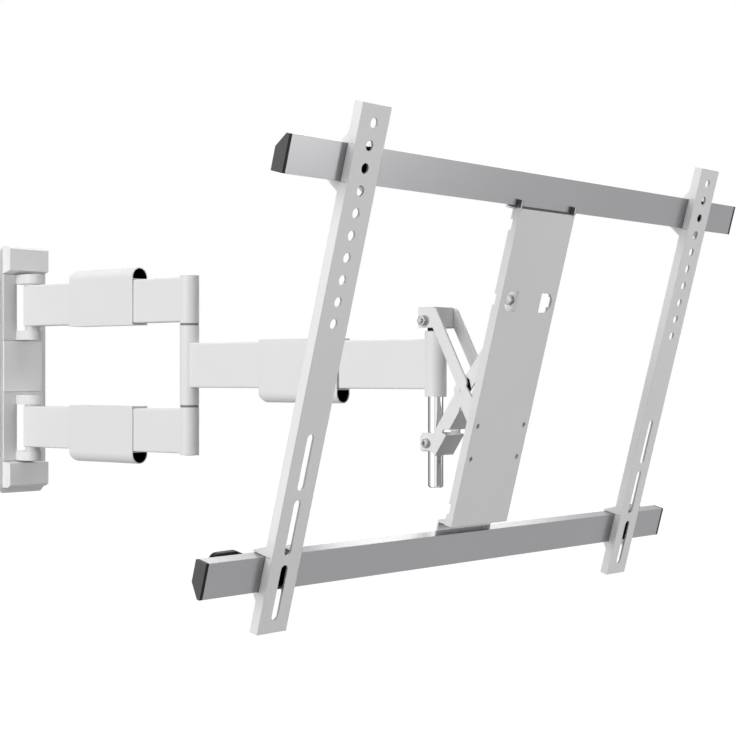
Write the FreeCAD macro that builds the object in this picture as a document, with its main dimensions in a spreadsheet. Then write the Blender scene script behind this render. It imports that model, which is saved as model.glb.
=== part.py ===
import FreeCAD, Part
import Sketcher
import math
import os
import re

os.makedirs("parts", exist_ok=True)
doc = FreeCAD.newDocument("swivel_mount")
sheet = doc.addObject("Spreadsheet::Sheet", "Sizes")

SIZES = {
    # Wall plate, on the wall plane y = 0, the mount reaches towards -y
    "plate_width": 80,
    "plate_thick": 3,
    "plate_top": 157.4,
    "plate_bottom": 168,
    "plate_corner": 8.5,
    "channel_width": 64,
    "channel_rise": 3,
    "cover_half_height": 34,
    "window_width": 21,
    "wall_hole_radius": 4.5,
    "wall_hole_side": 20,
    "wall_hole_rise": 144,
    "seat_gap": 0.3,

    # Wall pivots
    "pivot_reach": 25.7,
    "lug_radius": 12.5,
    "lug_thick": 12.5,
    "wall_pin_radius": 5,
    "pin_clearance": 0.05,
    "spacer_radius": 10,
    "upper_spacer": 2.2,
    "lower_spacer": 5.8,

    # End covers of the wall plate
    "top_cap_outer": 158.4,
    "bottom_cap_outer": 160.8,
    "top_cap_inner": 126.8,
    "top_cap_slant": 4.8,
    "bottom_cap_inner": 128.6,
    "bottom_cap_slant": 2.8,
    "cap_depth": 16.3,
    "cap_wall": 2,
    "cap_bevel_depth": 5.6,
    "cap_bevel_height": 3.3,

    # First arm pair
    "arm_rise": 80,
    "arm_height": 54,
    "first_arm_width": 22,
    "arm_wall": 2.5,
    "first_arm_length": 298,
    "arm_past_pivot": 5.4,
    "bush_radius": 7.5,
    "edge_round": 2,

    # Elbow
    "barrel_radius": 11.8,
    "outer_barrel_height": 58,
    "middle_barrel_height": 96.6,
    "elbow_pin_radius": 6,
    "elbow_washer_radius": 11.2,
    "barrel_cap_radius": 9.5,
    "barrel_cap_thick": 2.2,

    # Cable sleeves
    "sleeve_wall": 1.2,
    "sleeve_length": 120,
    "first_sleeve_start": 89.4,
    "first_sleeve_width": 25.3,
    "first_duct_rise": 1.5,
    "second_sleeve_start": 126,
    "second_sleeve_width": 22,
    "second_duct_rise": 4.1,
    "sleeve_lip": 2.4,
    "duct_cut_length": 5,
    "duct_cut_height": 8,

    # Second arm and its head barrel
    "second_arm_width": 16,
    "second_arm_length": 376.4,
    "head_barrel_height": 70,
    "vent_length": 60,
    "vent_width": 8,

    # Chrome post and its top block
    "post_radius": 8.2,
    "post_bottom": 132,
    "post_chamfer": 1.5,
    "bushing_radius": 10,
    "bushing_length": 12,
    "bushing_flange": 3.6,
    "bushing_lip_inset": 1.6,
    "block_height": 21.5,
    "block_depth": 22,
    "block_side_gap": 0.3,

    # Upper tilt link, points given from the post axis
    "link_sheet": 2.5,
    "upper_link_inside": 35,
    "upper_pivot_rise": 46,
    "upper_lug_back": 7.7,
    "upper_lug_front": 12,
    "upper_lug_top": 13.9,
    "upper_lug_bottom": 7.7,
    "upper_band_width": 13,
    "upper_band_reach": 10.6,
    "upper_knee_reach": 49.1,
    "upper_knee_drop": 20,
    "cross_reach": 45.4,
    "cross_drop": 27.3,
    "cross_eye_radius": 6,
    "lower_band_width": 20,
    "front_pin_reach": 69.9,
    "front_pin_drop": 65.4,
    "front_pin_radius": 4,
    "front_pin_over": 3,
    "front_pin_lip": 2,

    # Lower tilt link
    "lower_link_inside": 27,
    "lower_pivot_drop": 84.3,
    "lower_lug_back": 6.2,
    "lower_lug_front": 11,
    "lower_lug_top": 11.2,
    "lower_lug_bottom": 7.8,
    "lower_start_reach": 4.5,
    "lower_start_drop": 92.5,
    "lower_mid_reach": 47,
    "lower_mid_drop": 29.5,
    "lower_knee_reach": 83,
    "lower_knee_rise": 17,
    "lower_link_width": 14,
    "ear_eye_radius": 6.3,
    "lower_web_low": 26,
    "lower_web_gap": 7.5,
    "lower_web_high": 24.5,
    "relief_height": 5,
    "relief_depth": 6,
    "ear_pin_reach": 110.9,
    "ear_pin_rise": 64.9,

    # Bolts and rivets of the links
    "bolt_radius": 3,
    "bolt_head_radius": 5.2,
    "bolt_head_height": 4.6,
    "hex_radius": 5.6,
    "bolt_end": 2.8,
    "bolt_tip_gap": 1,
    "washer_radius": 6,
    "washer_thick": 1.6,
    "rivet_radius": 2,
    "rivet_head_radius": 4.2,
    "rivet_head_height": 1.2,
    "rivet_tip_radius": 2.4,
    "rivet_tip_height": 0.4,

    # Slide block on the post
    "slider_height": 18,
    "slider_depth": 21,
    "slider_side_gap": 0.3,
    "slider_bore_gap": 0.6,

    # Tilt plate, measured in the tilted frame of the screen panel
    "tilt_angle": 15,
    "ear_pin_level": 63.7,
    "ear_pin_depth": 13,
    "tilt_plate_front": 4,
    "tilt_plate_width": 98.8,
    "tilt_plate_top": 157,
    "tilt_plate_bottom": 175.3,
    "tilt_plate_flange": 9,
    "panel_sheet": 2,
    "ear_radius": 10.3,
    "ear_side": 19,
    "flange_notch": 2.6,
    "flange_notch_length": 11,
    "upper_notch_level": 140,
    "lower_notch_level": 158,
    "tab_rise": 9.2,
    "tab_depth": 4.1,
    "window_reach": 21,

    # Pivot bracket behind the tilt plate
    "bracket_width": 92,
    "bracket_height": 56,
    "bracket_screw_side": 41,
    "bracket_screw_level": 85.1,
    "bracket_screw_pitch": 35,
    "bracket_ear_side": 21.5,
    "bracket_ear_depth": 21,
    "bracket_ear_height": 50,
    "bracket_slot_travel": 24,
    "bracket_slot_gap": 0.5,
    "small_screw_radius": 2.6,
    "small_screw_head": 4.4,
    "small_screw_rise": 0.9,
    "screw_recess": 1.2,

    # Cross bars
    "bar_front": 8.3,
    "bar_height": 33.7,
    "bar_depth": 13.2,
    "bar_bevel_height": 13,
    "bar_bevel_depth": 10,
    "bar_wall": 1.8,
    "bar_length": 781,
    "bar_cap_thick": 3.5,
    "bar_plug_depth": 12,
    "plug_gap": 0.1,
    "top_bar_level": 176.7,
    "bottom_bar_level": 201.4,

    # Bar holders
    "holder_sheet": 2,
    "holder_base_height": 34,
    "holder_back_over": 18,
    "holder_screw_side": 30,
    "holder_screw_inset": 16,
    "bar_pad_thick": 2.35,
    "clip_width": 0.8,
    "clip_height": 8,

    # Screen rails
    "rail_spacing": 600,
    "rail_width": 38.9,
    "rail_top": 230.6,
    "rail_bottom": 256.9,
    "rail_depth": 9.6,
    "rail_hole_radius": 4.7,
    "rail_hole_top": 214.4,
    "rail_hole_pitch": 20,
    "rail_hole_count": 10,
    "rail_slot_width": 8.6,
    "rail_slot_length": 53.3,
    "rail_slot_pitch": 62,
    "rail_slot_level": 94.1,
    "rail_slot_count": 3,
    "outer_ear_depth": 15.9,
    "inner_ear_depth": 24.3,
    "ear_slope_height": 9,
    "ear_tip_height": 1,
    "bar_clearance": 0.3,

    # Plastic parts of the rails
    "glide_short": 4.7,
    "glide_wall": 1.5,
    "retainer_back": 2.3,
    "retainer_side_gap": 0.2,
    "retainer_hook": 7,
    "retainer_thick": 1.5,
    "lock_hook": 30,
    "lock_rise": 1.5,

    # Locking levers
    "lever_pivot_level": 205,
    "lever_pivot_radius": 4,
    "lever_hub_radius": 7,
    "lever_reach": 62,
    "lever_rise": 14.5,
    "lever_neck": 5,
    "lever_thick": 7,
    "lever_gap": 0.2,
    "lever_head_radius": 6,
    "lever_head_height": 1.5,
    "lever_tip_radius": 9,
}

for row, (name, value) in enumerate(SIZES.items(), 1):
    sheet.set(f"A{row}", name)
    sheet.set(f"B{row}", str(value))
    sheet.setAlias(f"B{row}", name)
doc.recompute()
ALIAS = re.compile(r"(?<![\w.])[a-z]+(?:_[a-z]+)+(?!\w)")


def linked(text):
    return ALIAS.sub(lambda found: "Sizes." + found.group(0), str(text))


def bind(thing, path, text):
    thing.setExpression(path, linked(text))


def number(name):
    return float(sheet.get(name))


HEAD_Y = "(pivot_reach + first_arm_length + second_arm_length)"
ELBOW_Y = "(pivot_reach + first_arm_length)"
PANEL_Y = (f"(-{HEAD_Y} - ear_pin_reach + ear_pin_level * sin(tilt_angle * 1 deg)"
           " - ear_pin_depth * cos(tilt_angle * 1 deg))")
PANEL_Z = ("(ear_pin_rise - ear_pin_level * cos(tilt_angle * 1 deg)"
           " - ear_pin_depth * sin(tilt_angle * 1 deg))")
pieces = []


def new_body(label, frame):
    body = doc.addObject("PartDesign::Body", label)
    body.Label = label
    if frame == "head":
        bind(body, "Placement.Base.y", f"-{HEAD_Y}")
    if frame == "panel":
        turn = FreeCAD.Rotation(FreeCAD.Vector(1, 0, 0), number("tilt_angle"))
        body.Placement = FreeCAD.Placement(FreeCAD.Vector(0, 0, 0), turn)
        bind(body, "Placement.Base.y", PANEL_Y)
        bind(body, "Placement.Base.z", PANEL_Z)
        bind(body, "Placement.Rotation.Angle", "tilt_angle")
    pieces.append(body)
    return body


def new_sketch(body, name, plane, at, turn):
    sketch = body.newObject("Sketcher::SketchObject", name)
    for datum in body.Origin.OriginFeatures:
        if datum.Role == plane + "_Plane":
            sketch.AttachmentSupport = [(datum, "")]
    sketch.MapMode = "FlatFace"
    # The normal of the XZ plane points to -y, so the offset along y changes its sign
    offset = {"XY": (at[0], at[1], at[2]), "YZ": (at[1], at[2], at[0]), "XZ": (at[0], at[2], f"-({at[1]})")}[plane]
    for axis, text in zip("xyz", offset):
        bind(sketch, f"AttachmentOffset.Base.{axis}", text)
    if str(turn) != "0":
        bind(sketch, "AttachmentOffset.Rotation.Angle", turn)
    return sketch


def measure(sketch, kind, *place):
    *where, text = place
    slot = sketch.addConstraint(Sketcher.Constraint(kind, *where))
    bind(sketch, f"Constraints[{slot}]", text)


def outline(body, name, plane, at, points, turn=0):
    sketch = new_sketch(body, name, plane, at, turn)
    count = len(points)
    rough = []
    for step in range(count):
        angle = 2 * math.pi * step / count
        rough.append(FreeCAD.Vector(30 * math.cos(angle), 30 * math.sin(angle), 0))
    for step in range(count):
        sketch.addGeometry(Part.LineSegment(rough[step], rough[(step + 1) % count]), False)
    for step in range(count):
        sketch.addConstraint(Sketcher.Constraint("Coincident", step, 2, (step + 1) % count, 1))
    for step, (across, up) in enumerate(points):
        measure(sketch, "DistanceX", -1, 1, step, 1, rough[step].x + 0.01, across)
        measure(sketch, "DistanceY", -1, 1, step, 1, rough[step].y + 0.01, up)
    return sketch


def rectangle(body, name, plane, at, wide, high, turn=0):
    half_wide = f"(({wide}) / 2)"
    half_high = f"(({high}) / 2)"
    corners = [(f"-{half_wide}", f"-{half_high}"), (half_wide, f"-{half_high}"),
               (half_wide, half_high), (f"-{half_wide}", half_high)]
    return outline(body, name, plane, at, corners, turn)


def circle(body, name, plane, at, radius):
    sketch = new_sketch(body, name, plane, at, 0)
    sketch.addGeometry(Part.Circle(FreeCAD.Vector(0, 0, 0), FreeCAD.Vector(0, 0, 1), 5), False)
    sketch.addConstraint(Sketcher.Constraint("Coincident", 0, 3, -1, 1))
    measure(sketch, "Radius", 0, 5, radius)
    return sketch


def round_ended(body, name, plane, at, half, low, high, straight_foot, turn=0):
    # Two upright lines with an arc over them, and a line or a second arc under them
    sketch = new_sketch(body, name, plane, at, turn)
    normal = FreeCAD.Vector(0, 0, 1)
    corners = [FreeCAD.Vector(-5, -8, 0), FreeCAD.Vector(5, -8, 0), FreeCAD.Vector(5, 8, 0), FreeCAD.Vector(-5, 8, 0)]
    sketch.addGeometry(Part.LineSegment(corners[1], corners[2]), False)
    sketch.addGeometry(Part.ArcOfCircle(Part.Circle(FreeCAD.Vector(0, 8, 0), normal, 5), 0, math.pi), False)
    sketch.addGeometry(Part.LineSegment(corners[3], corners[0]), False)
    if straight_foot:
        sketch.addGeometry(Part.LineSegment(corners[0], corners[1]), False)
    else:
        dip = Part.Circle(FreeCAD.Vector(0, -8, 0), normal, 5)
        sketch.addGeometry(Part.ArcOfCircle(dip, math.pi, 2 * math.pi), False)
        measure(sketch, "DistanceY", -1, 1, 3, 3, -8, low)
    for step in range(4):
        sketch.addConstraint(Sketcher.Constraint("Coincident", step, 2, (step + 1) % 4, 1))
    for line, end, across, up in ((0, 1, half, low), (0, 2, half, high), (2, 1, f"-({half})", high),
                                  (2, 2, f"-({half})", low)):
        measure(sketch, "DistanceX", -1, 1, line, end, 5 if line == 0 else -5, across)
        measure(sketch, "DistanceY", -1, 1, line, end, 8, up)
    measure(sketch, "DistanceY", -1, 1, 1, 3, 8, high)
    return sketch


def arch(body, name, plane, at, half, straight, turn=0):
    return round_ended(body, name, plane, at, half, "0", straight, True, turn)


def slot(body, name, plane, at, wide, long):
    reach = f"(({long}) - ({wide})) / 2"
    return round_ended(body, name, plane, at, f"({wide}) / 2", f"-{reach}", reach, False)


def band(body, name, side, start, end, wide):
    # Straight strip in the y-z plane from one point to the other
    across = f"(({end[0]}) - ({start[0]}))"
    up = f"(({end[1]}) - ({start[1]}))"
    middle = (side, f"(({end[0]}) + ({start[0]})) / 2", f"(({end[1]}) + ({start[1]})) / 2")
    return rectangle(body, name, "YZ", middle, f"sqrt({across} ^ 2 + {up} ^ 2)", wide, f"atan2({up}; {across})")


def hexagon(body, name, at, radius):
    points = []
    for step in range(6):
        points.append((f"({radius}) * cos({60 * step} deg)", f"({radius}) * sin({60 * step} deg)"))
    return outline(body, name, "YZ", at, points)


def pad(body, sketch, length):
    feature = body.newObject("PartDesign::Pad", sketch.Name + "_pad")
    feature.Profile = sketch
    feature.Midplane = True
    bind(feature, "Length", length)
    sketch.Visibility = False
    return feature


def cut(body, sketch, length):
    feature = body.newObject("PartDesign::Pocket", sketch.Name + "_cut")
    feature.Profile = sketch
    feature.Midplane = True
    bind(feature, "Length", length)
    sketch.Visibility = False
    return feature


def repeat(body, feature, axis, step, count):
    pattern = body.newObject("PartDesign::LinearPattern", feature.Name + "_row")
    pattern.Originals = [feature]
    for datum in body.Origin.OriginFeatures:
        if datum.Role == axis + "_Axis":
            pattern.Direction = (datum, [""])
    pattern.Reversed = True
    bind(pattern, "Length", f"({step}) * (({count}) - 1)")
    bind(pattern, "Occurrences", count)
    body.Tip = pattern
    return pattern


def round_edges(body, along, radius):
    doc.recompute()
    base = body.Tip
    names = []
    for index, edge in enumerate(base.Shape.Edges):
        if isinstance(edge.Curve, Part.Line) and abs(edge.Curve.Direction.dot(FreeCAD.Vector(*along))) > 0.999:
            names.append(f"Edge{index + 1}")
    feature = body.newObject("PartDesign::Fillet", body.Name + "_round")
    feature.Base = (base, names)
    bind(feature, "Radius", radius)
    return feature


# Wall plate with its two raised channels and four pivot lugs
plate = new_body("wall_plate", "wall")
HALF = "(plate_width / 2)"
CUT = f"({HALF} - plate_corner)"
pad(plate, outline(plate, "plate_face", "XZ", (0, "-plate_thick / 2", 0), [
    (f"-{CUT}", "-plate_bottom"), (CUT, "-plate_bottom"), (HALF, "plate_corner - plate_bottom"),
    (HALF, "plate_top - plate_corner"), (CUT, "plate_top"), (f"-{CUT}", "plate_top"),
    (f"-{HALF}", "plate_top - plate_corner"), (f"-{HALF}", "plate_corner - plate_bottom")]), "plate_thick")
CHANNEL_FRONT = "(plate_thick + channel_rise)"
LOW_LUG = "(arm_rise - arm_height / 2 - lower_spacer - lug_thick / 2)"
HIGH_LUG = "(arm_rise + arm_height / 2 + upper_spacer + lug_thick / 2)"
for sign, word in (("", "upper"), ("-", "lower")):
    cap_word = "top_cap" if word == "upper" else "bottom_cap"
    end = f"({cap_word}_inner - {cap_word}_slant - seat_gap)"
    rise = f"{sign}({end} + cover_half_height) / 2"
    tall = f"{end} - cover_half_height - 2 * seat_gap"
    face = rectangle(plate, f"{word}_channel", "XZ", (0, f"-{CHANNEL_FRONT} / 2", rise), "channel_width", tall)
    pad(plate, face, CHANNEL_FRONT)
# The lower lug pair is the upper pair carried down by twice the arm rise
for carried, group in (("0", "upper"), ("-2 * arm_rise", "lower")):
    for level, word in ((LOW_LUG, "low"), (HIGH_LUG, "high")):
        place = (0, "-plate_thick", f"{level} + {carried}")
        lug = arch(plate, f"{group}_{word}_lug", "XY", place, "lug_radius", "pivot_reach - plate_thick", 180)
        pad(plate, lug, "lug_thick")
        bore = circle(plate, f"{group}_{word}_bore", "XY", (0, "-pivot_reach", f"{level} + {carried}"),
                      "wall_pin_radius + pin_clearance")
        cut(plate, bore, "lug_thick")
    opening = rectangle(plate, f"{group}_window", "XZ", (0, 0, f"({LOW_LUG} + {HIGH_LUG}) / 2 + {carried}"),
                        "window_width", f"{HIGH_LUG} - {LOW_LUG} - lug_thick")
    cut(plate, opening, f"2 * {CHANNEL_FRONT} + 1")
for across in ("-", ""):
    for up in ("-", ""):
        word = f"hole_{'left' if across else 'right'}_{'low' if up else 'high'}"
        place = (f"{across}wall_hole_side", 0, f"{up}wall_hole_rise")
        cut(plate, circle(plate, word, "XZ", place, "wall_hole_radius"), "2 * plate_thick + 1")

# Middle cover between the two channels
cover = new_body("centre_cover", "wall")
pad(cover, rectangle(cover, "cover_face", "XZ", (0, f"-({CHANNEL_FRONT} + plate_thick) / 2", 0),
                     "channel_width", "2 * cover_half_height - 2 * seat_gap"), "channel_rise")
round_edges(cover, (0, 0, 1), "channel_rise / 4")

# Hollow end covers, closed in front, open towards the wall
for sign, word in (("", "top_cap"), ("-", "bottom_cap")):
    cap = new_body(word, "wall")
    inside = f"{word}_inner"
    outside = f"{word}_outer"
    rear_end = f"({word}_inner - {word}_slant)"
    front = "(plate_thick + cap_depth)"
    profile = outline(cap, f"{word}_side", "YZ", (0, 0, 0), [
        ("-plate_thick", f"{sign}{rear_end}"), (f"-{front}", f"{sign}{inside}"),
        (f"-{front}", f"{sign}({outside} - cap_bevel_height)"),
        (f"cap_bevel_depth - {front}", f"{sign}{outside}"), ("-plate_thick", f"{sign}{outside}")])
    pad(cap, profile, "channel_width")
    inner = outline(cap, f"{word}_hollow", "YZ", (0, 0, 0), [
        ("-plate_thick", f"{sign}({rear_end} + cap_wall)"), (f"cap_wall - {front}", f"{sign}({inside} + cap_wall)"),
        (f"cap_wall - {front}", f"{sign}({outside} - cap_bevel_height - cap_wall)"),
        (f"cap_bevel_depth - {front}", f"{sign}({outside} - cap_wall)"),
        ("-plate_thick", f"{sign}({outside} - cap_wall)")])
    cut(cap, inner, "channel_width - 2 * cap_wall")

# Pins through the lugs and the arms' bushes
pins = new_body("wall_pins", "wall")
for sign, word in (("", "upper"), ("-", "lower")):
    level = f"({LOW_LUG} + {HIGH_LUG}) / 2" if sign == "" else f"({LOW_LUG} + {HIGH_LUG}) / 2 - 2 * arm_rise"
    pad(pins, circle(pins, f"{word}_pin", "XY", (0, "-pivot_reach", level), "wall_pin_radius"),
        f"{HIGH_LUG} - {LOW_LUG} + lug_thick")

# Spacer rings over and under each arm
rings = new_body("arm_spacers", "wall")
for carried, group in (("0", "upper"), ("-2 * arm_rise", "lower")):
    over = f"arm_rise + arm_height / 2 + upper_spacer / 2 + {carried}"
    under = f"arm_rise - arm_height / 2 - lower_spacer / 2 + {carried}"
    for level, thick, word in ((over, "upper_spacer", "over"), (under, "lower_spacer", "under")):
        place = (0, "-pivot_reach", level)
        pad(rings, circle(rings, f"{group}_{word}", "XY", place, "spacer_radius"), thick)
        cut(rings, circle(rings, f"{group}_{word}_bore", "XY", place, "wall_pin_radius + pin_clearance"), thick)

# First arms: tube, wall bush and outer elbow barrel in one weldment
TUBE_END = "(pivot_reach - arm_past_pivot)"
for sign, word in (("", "upper"), ("-", "lower")):
    arm = new_body(f"{word}_arm", "wall")
    level = f"{sign}arm_rise"
    middle = f"-({TUBE_END} + {ELBOW_Y}) / 2"
    pad(arm, rectangle(arm, f"{word}_tube", "XZ", (0, middle, level), "first_arm_width", "arm_height"),
        f"{ELBOW_Y} - {TUBE_END}")
    round_edges(arm, (0, 1, 0), "edge_round")
    inside = rectangle(arm, f"{word}_inside", "XZ", (0, f"{middle} + barrel_radius / 2", level),
                       "first_arm_width - 2 * arm_wall", "arm_height - 2 * arm_wall")
    cut(arm, inside, f"{ELBOW_Y} - {TUBE_END} - barrel_radius")
    pad(arm, circle(arm, f"{word}_bush", "XY", (0, "-pivot_reach", level), "bush_radius"), "arm_height")
    cut(arm, circle(arm, f"{word}_bush_bore", "XY", (0, "-pivot_reach", level), "wall_pin_radius + pin_clearance"),
        "arm_height")
    pad(arm, circle(arm, f"{word}_barrel", "XY", (0, f"-{ELBOW_Y}", level), "barrel_radius"), "outer_barrel_height")
    cut(arm, circle(arm, f"{word}_barrel_bore", "XY", (0, f"-{ELBOW_Y}", level), "elbow_pin_radius + pin_clearance"),
        "outer_barrel_height")
    seat = f"{sign}(arm_rise + outer_barrel_height / 2 - barrel_cap_thick / 2)"
    cut(arm, circle(arm, f"{word}_cap_seat", "XY", (0, f"-{ELBOW_Y}", seat), "barrel_cap_radius + plug_gap"),
        "barrel_cap_thick")

# Cable sleeves: a rectangular channel round the arm and a domed duct beside it


def sleeve(label, level, away, start, wide, duct_rise):
    part = new_body(label, "wall")
    turn = "0" if away == 1 else "180"
    middle = f"-({start} + sleeve_length / 2)"
    foot = f"{level} - {away} * (arm_height / 2 + sleeve_lip)"
    straight = f"sleeve_lip + arm_height + seat_gap + sleeve_wall + {duct_rise}"
    pad(part, arch(part, label + "_outer", "XZ", (0, middle, foot), f"{wide} / 2", straight, turn), "sleeve_length")
    cut(part, rectangle(part, label + "_channel", "XZ", (0, middle, level), f"{wide} - 2 * sleeve_wall",
                        "arm_height + 2 * seat_gap"), "sleeve_length")
    floor = f"{level} + {away} * (arm_height / 2 + seat_gap + sleeve_wall)"
    cut(part, arch(part, label + "_duct", "XZ", (0, middle, floor), f"{wide} / 2 - sleeve_wall", duct_rise, turn),
        "sleeve_length")
    tip = f"({level} + {away} * (arm_height / 2 + seat_gap + sleeve_wall + {duct_rise} + {wide} / 2))"
    corner = outline(part, label + "_corner", "YZ", (0, f"-({start})", tip), [
        ("0", "0"), ("-duct_cut_length", "0"), ("0", f"-{away} * duct_cut_height")])
    cut(part, corner, wide)
    return part


sleeve("upper_sleeve", "arm_rise", 1, "pivot_reach + first_sleeve_start", "first_sleeve_width", "first_duct_rise")
sleeve("lower_sleeve", "-arm_rise", -1, "pivot_reach + first_sleeve_start", "first_sleeve_width", "first_duct_rise")

# Elbow pin, its washers and the two caps that close the outer barrels
elbow_pin = new_body("elbow_pin", "wall")
pad(elbow_pin, circle(elbow_pin, "elbow_pin_face", "XY", (0, f"-{ELBOW_Y}", 0), "elbow_pin_radius"),
    "2 * arm_rise + outer_barrel_height - 2 * barrel_cap_thick - 2 * seat_gap")
washers = new_body("elbow_washers", "wall")
caps = new_body("barrel_caps", "wall")
for sign, word in (("", "upper"), ("-", "lower")):
    low = "(middle_barrel_height / 2)"
    high = "(arm_rise - outer_barrel_height / 2)"
    place = (0, f"-{ELBOW_Y}", f"{sign}({low} + {high}) / 2")
    pad(washers, circle(washers, f"{word}_washer", "XY", place, "elbow_washer_radius"), f"{high} - {low}")
    cut(washers, circle(washers, f"{word}_washer_bore", "XY", place, "elbow_pin_radius + pin_clearance"),
        f"{high} - {low}")
    top = (0, f"-{ELBOW_Y}", f"{sign}(arm_rise + outer_barrel_height / 2 - barrel_cap_thick / 2)")
    pad(caps, circle(caps, f"{word}_cap", "XY", top, "barrel_cap_radius"), "barrel_cap_thick")

# Second arm: tube between the elbow's middle barrel and the head barrel
second = new_body("second_arm", "wall")
MIDDLE = f"-({ELBOW_Y} + {HEAD_Y}) / 2"
pad(second, rectangle(second, "second_tube", "XZ", (0, MIDDLE, 0), "second_arm_width", "arm_height"),
    "second_arm_length")
round_edges(second, (0, 1, 0), "edge_round")
cut(second, rectangle(second, "second_inside", "XZ", (0, MIDDLE, 0), "second_arm_width - 2 * arm_wall",
                      "arm_height - 2 * arm_wall"), "second_arm_length - 2 * barrel_radius")
duct_place = (0, f"-({ELBOW_Y} + second_sleeve_start + sleeve_length / 2)", "-arm_height / 2")
cut(second, rectangle(second, "cable_slot", "XY", duct_place, "vent_width", "vent_length"), "3 * arm_wall")
pad(second, circle(second, "middle_barrel", "XY", (0, f"-{ELBOW_Y}", 0), "barrel_radius"), "middle_barrel_height")
pad(second, circle(second, "head_barrel", "XY", (0, f"-{HEAD_Y}", 0), "barrel_radius"), "head_barrel_height")
cut(second, circle(second, "middle_bore", "XY", (0, f"-{ELBOW_Y}", 0), "elbow_pin_radius + pin_clearance"),
    "middle_barrel_height")
cut(second, circle(second, "head_bore", "XY", (0, f"-{HEAD_Y}", 0), "bushing_radius"), "head_barrel_height")
sleeve("second_sleeve", "0", -1, f"{ELBOW_Y} + second_sleeve_start", "second_sleeve_width", "second_duct_rise")

# Flanged bushings of the head barrel
bushings = new_body("post_bushings", "head")
for sign, word in (("", "top"), ("-", "bottom")):
    body_level = f"{sign}(head_barrel_height / 2 - bushing_length / 2)"
    pad(bushings, circle(bushings, f"{word}_body", "XY", (0, 0, body_level), "bushing_radius - pin_clearance"),
        "bushing_length")
    if word == "top":
        lip = (0, 0, "head_barrel_height / 2 + bushing_flange / 2")
        pad(bushings, circle(bushings, "top_lip", "XY", lip, "barrel_radius - bushing_lip_inset"), "bushing_flange")
    cut(bushings, circle(bushings, f"{word}_bore", "XY", (0, 0, body_level), "post_radius + pin_clearance"),
        "3 * bushing_length")

# Chrome post that swivels in the head barrel and carries the top block
BLOCK_LOW = "(head_barrel_height / 2 + bushing_flange + seat_gap)"
post = new_body("tilt_post", "head")
pad(post, circle(post, "post_face", "XY", (0, 0, f"({BLOCK_LOW} + block_height - post_bottom) / 2"), "post_radius"),
    f"{BLOCK_LOW} + block_height + post_bottom")
doc.recompute()
shaft = post.Tip
ends = [f"Edge{index + 1}" for index, edge in enumerate(shaft.Shape.Edges)
        if isinstance(edge.Curve, Part.Circle) and edge.CenterOfMass.z < 0]
chamfer = post.newObject("PartDesign::Chamfer", "post_chamfered")
chamfer.Base = (shaft, ends)
bind(chamfer, "Size", "post_chamfer")
hole = circle(post, "post_pin_hole", "YZ", (0, 0, "upper_pivot_rise"), "bolt_radius + pin_clearance")
cut(post, hole, "3 * post_radius")

block = new_body("post_block", "head")
pad(block, rectangle(block, "block_face", "XY", (0, 0, f"{BLOCK_LOW} + block_height / 2"),
                     "upper_link_inside - 2 * block_side_gap", "block_depth"), "block_height")
round_edges(block, (0, 0, 1), "edge_round")
cut(block, circle(block, "block_bore", "XY", (0, 0, f"{BLOCK_LOW} + block_height / 2"),
                  "post_radius + pin_clearance"), "block_height")
cut(block, circle(block, "block_pin_hole", "YZ", (0, 0, "upper_pivot_rise"), "bolt_radius + pin_clearance"),
    "upper_link_inside")

# Upper tilt link: two cranked side sheets, joined by the bolt, the rivets and the front pin
upper_link = new_body("upper_tilt_link", "head")
FOOT_RUN = "sqrt((front_pin_reach - cross_reach) ^ 2 + (front_pin_drop - cross_drop) ^ 2)"
for side, word in (("-", "left"), ("", "right")):
    across = f"{side}(upper_link_inside + link_sheet) / 2"
    pad(upper_link, outline(upper_link, f"{word}_lug", "YZ", (across, "0", "upper_pivot_rise"), [
        ("upper_lug_back", "-upper_lug_bottom"), ("upper_lug_back", "upper_lug_top"),
        ("-upper_band_reach", "upper_lug_top"), ("-upper_lug_front", "-upper_lug_bottom")]), "link_sheet")
    shoulder = ("-upper_band_reach", "upper_pivot_rise + upper_lug_top - upper_band_width / 2")
    pad(upper_link, circle(upper_link, f"{word}_shoulder", "YZ", (across, *shoulder), "upper_band_width / 2"),
        "link_sheet")
    knee = ("-upper_knee_reach", "-upper_knee_drop")
    pad(upper_link, band(upper_link, f"{word}_band", across, shoulder, knee, "upper_band_width"), "link_sheet")
    pad(upper_link, circle(upper_link, f"{word}_knee", "YZ", (across, *knee), "upper_band_width / 2"), "link_sheet")
    foot = (across, "-(cross_reach + front_pin_reach) / 2", "-(cross_drop + front_pin_drop) / 2")
    pad(upper_link, outline(upper_link, f"{word}_foot", "YZ", foot, [
        (f"-{FOOT_RUN} / 2", "-lower_band_width / 2"), (f"{FOOT_RUN} / 2", "-lower_band_width / 2"),
        (f"{FOOT_RUN} / 2", "lower_band_width / 2"), (f"-{FOOT_RUN} / 2", "cross_eye_radius")],
        "atan2(cross_drop - front_pin_drop; cross_reach - front_pin_reach)"), "link_sheet")
    pad(upper_link, circle(upper_link, f"{word}_cross_eye", "YZ", (across, "-cross_reach", "-cross_drop"),
                           "cross_eye_radius"), "link_sheet")
    pad(upper_link, circle(upper_link, f"{word}_front_eye", "YZ", (across, "-front_pin_reach", "-front_pin_drop"),
                           "lower_band_width / 2"), "link_sheet")
for name, reach, level, radius in (("pivot_hole", "0", "upper_pivot_rise", "bolt_radius"),
                                   ("cross_hole", "-cross_reach", "-cross_drop", "rivet_radius"),
                                   ("front_hole", "-front_pin_reach", "-front_pin_drop", "front_pin_radius")):
    cut(upper_link, circle(upper_link, name, "YZ", (0, reach, level), f"{radius} + pin_clearance"),
        "upper_link_inside + 4 * link_sheet")

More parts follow.
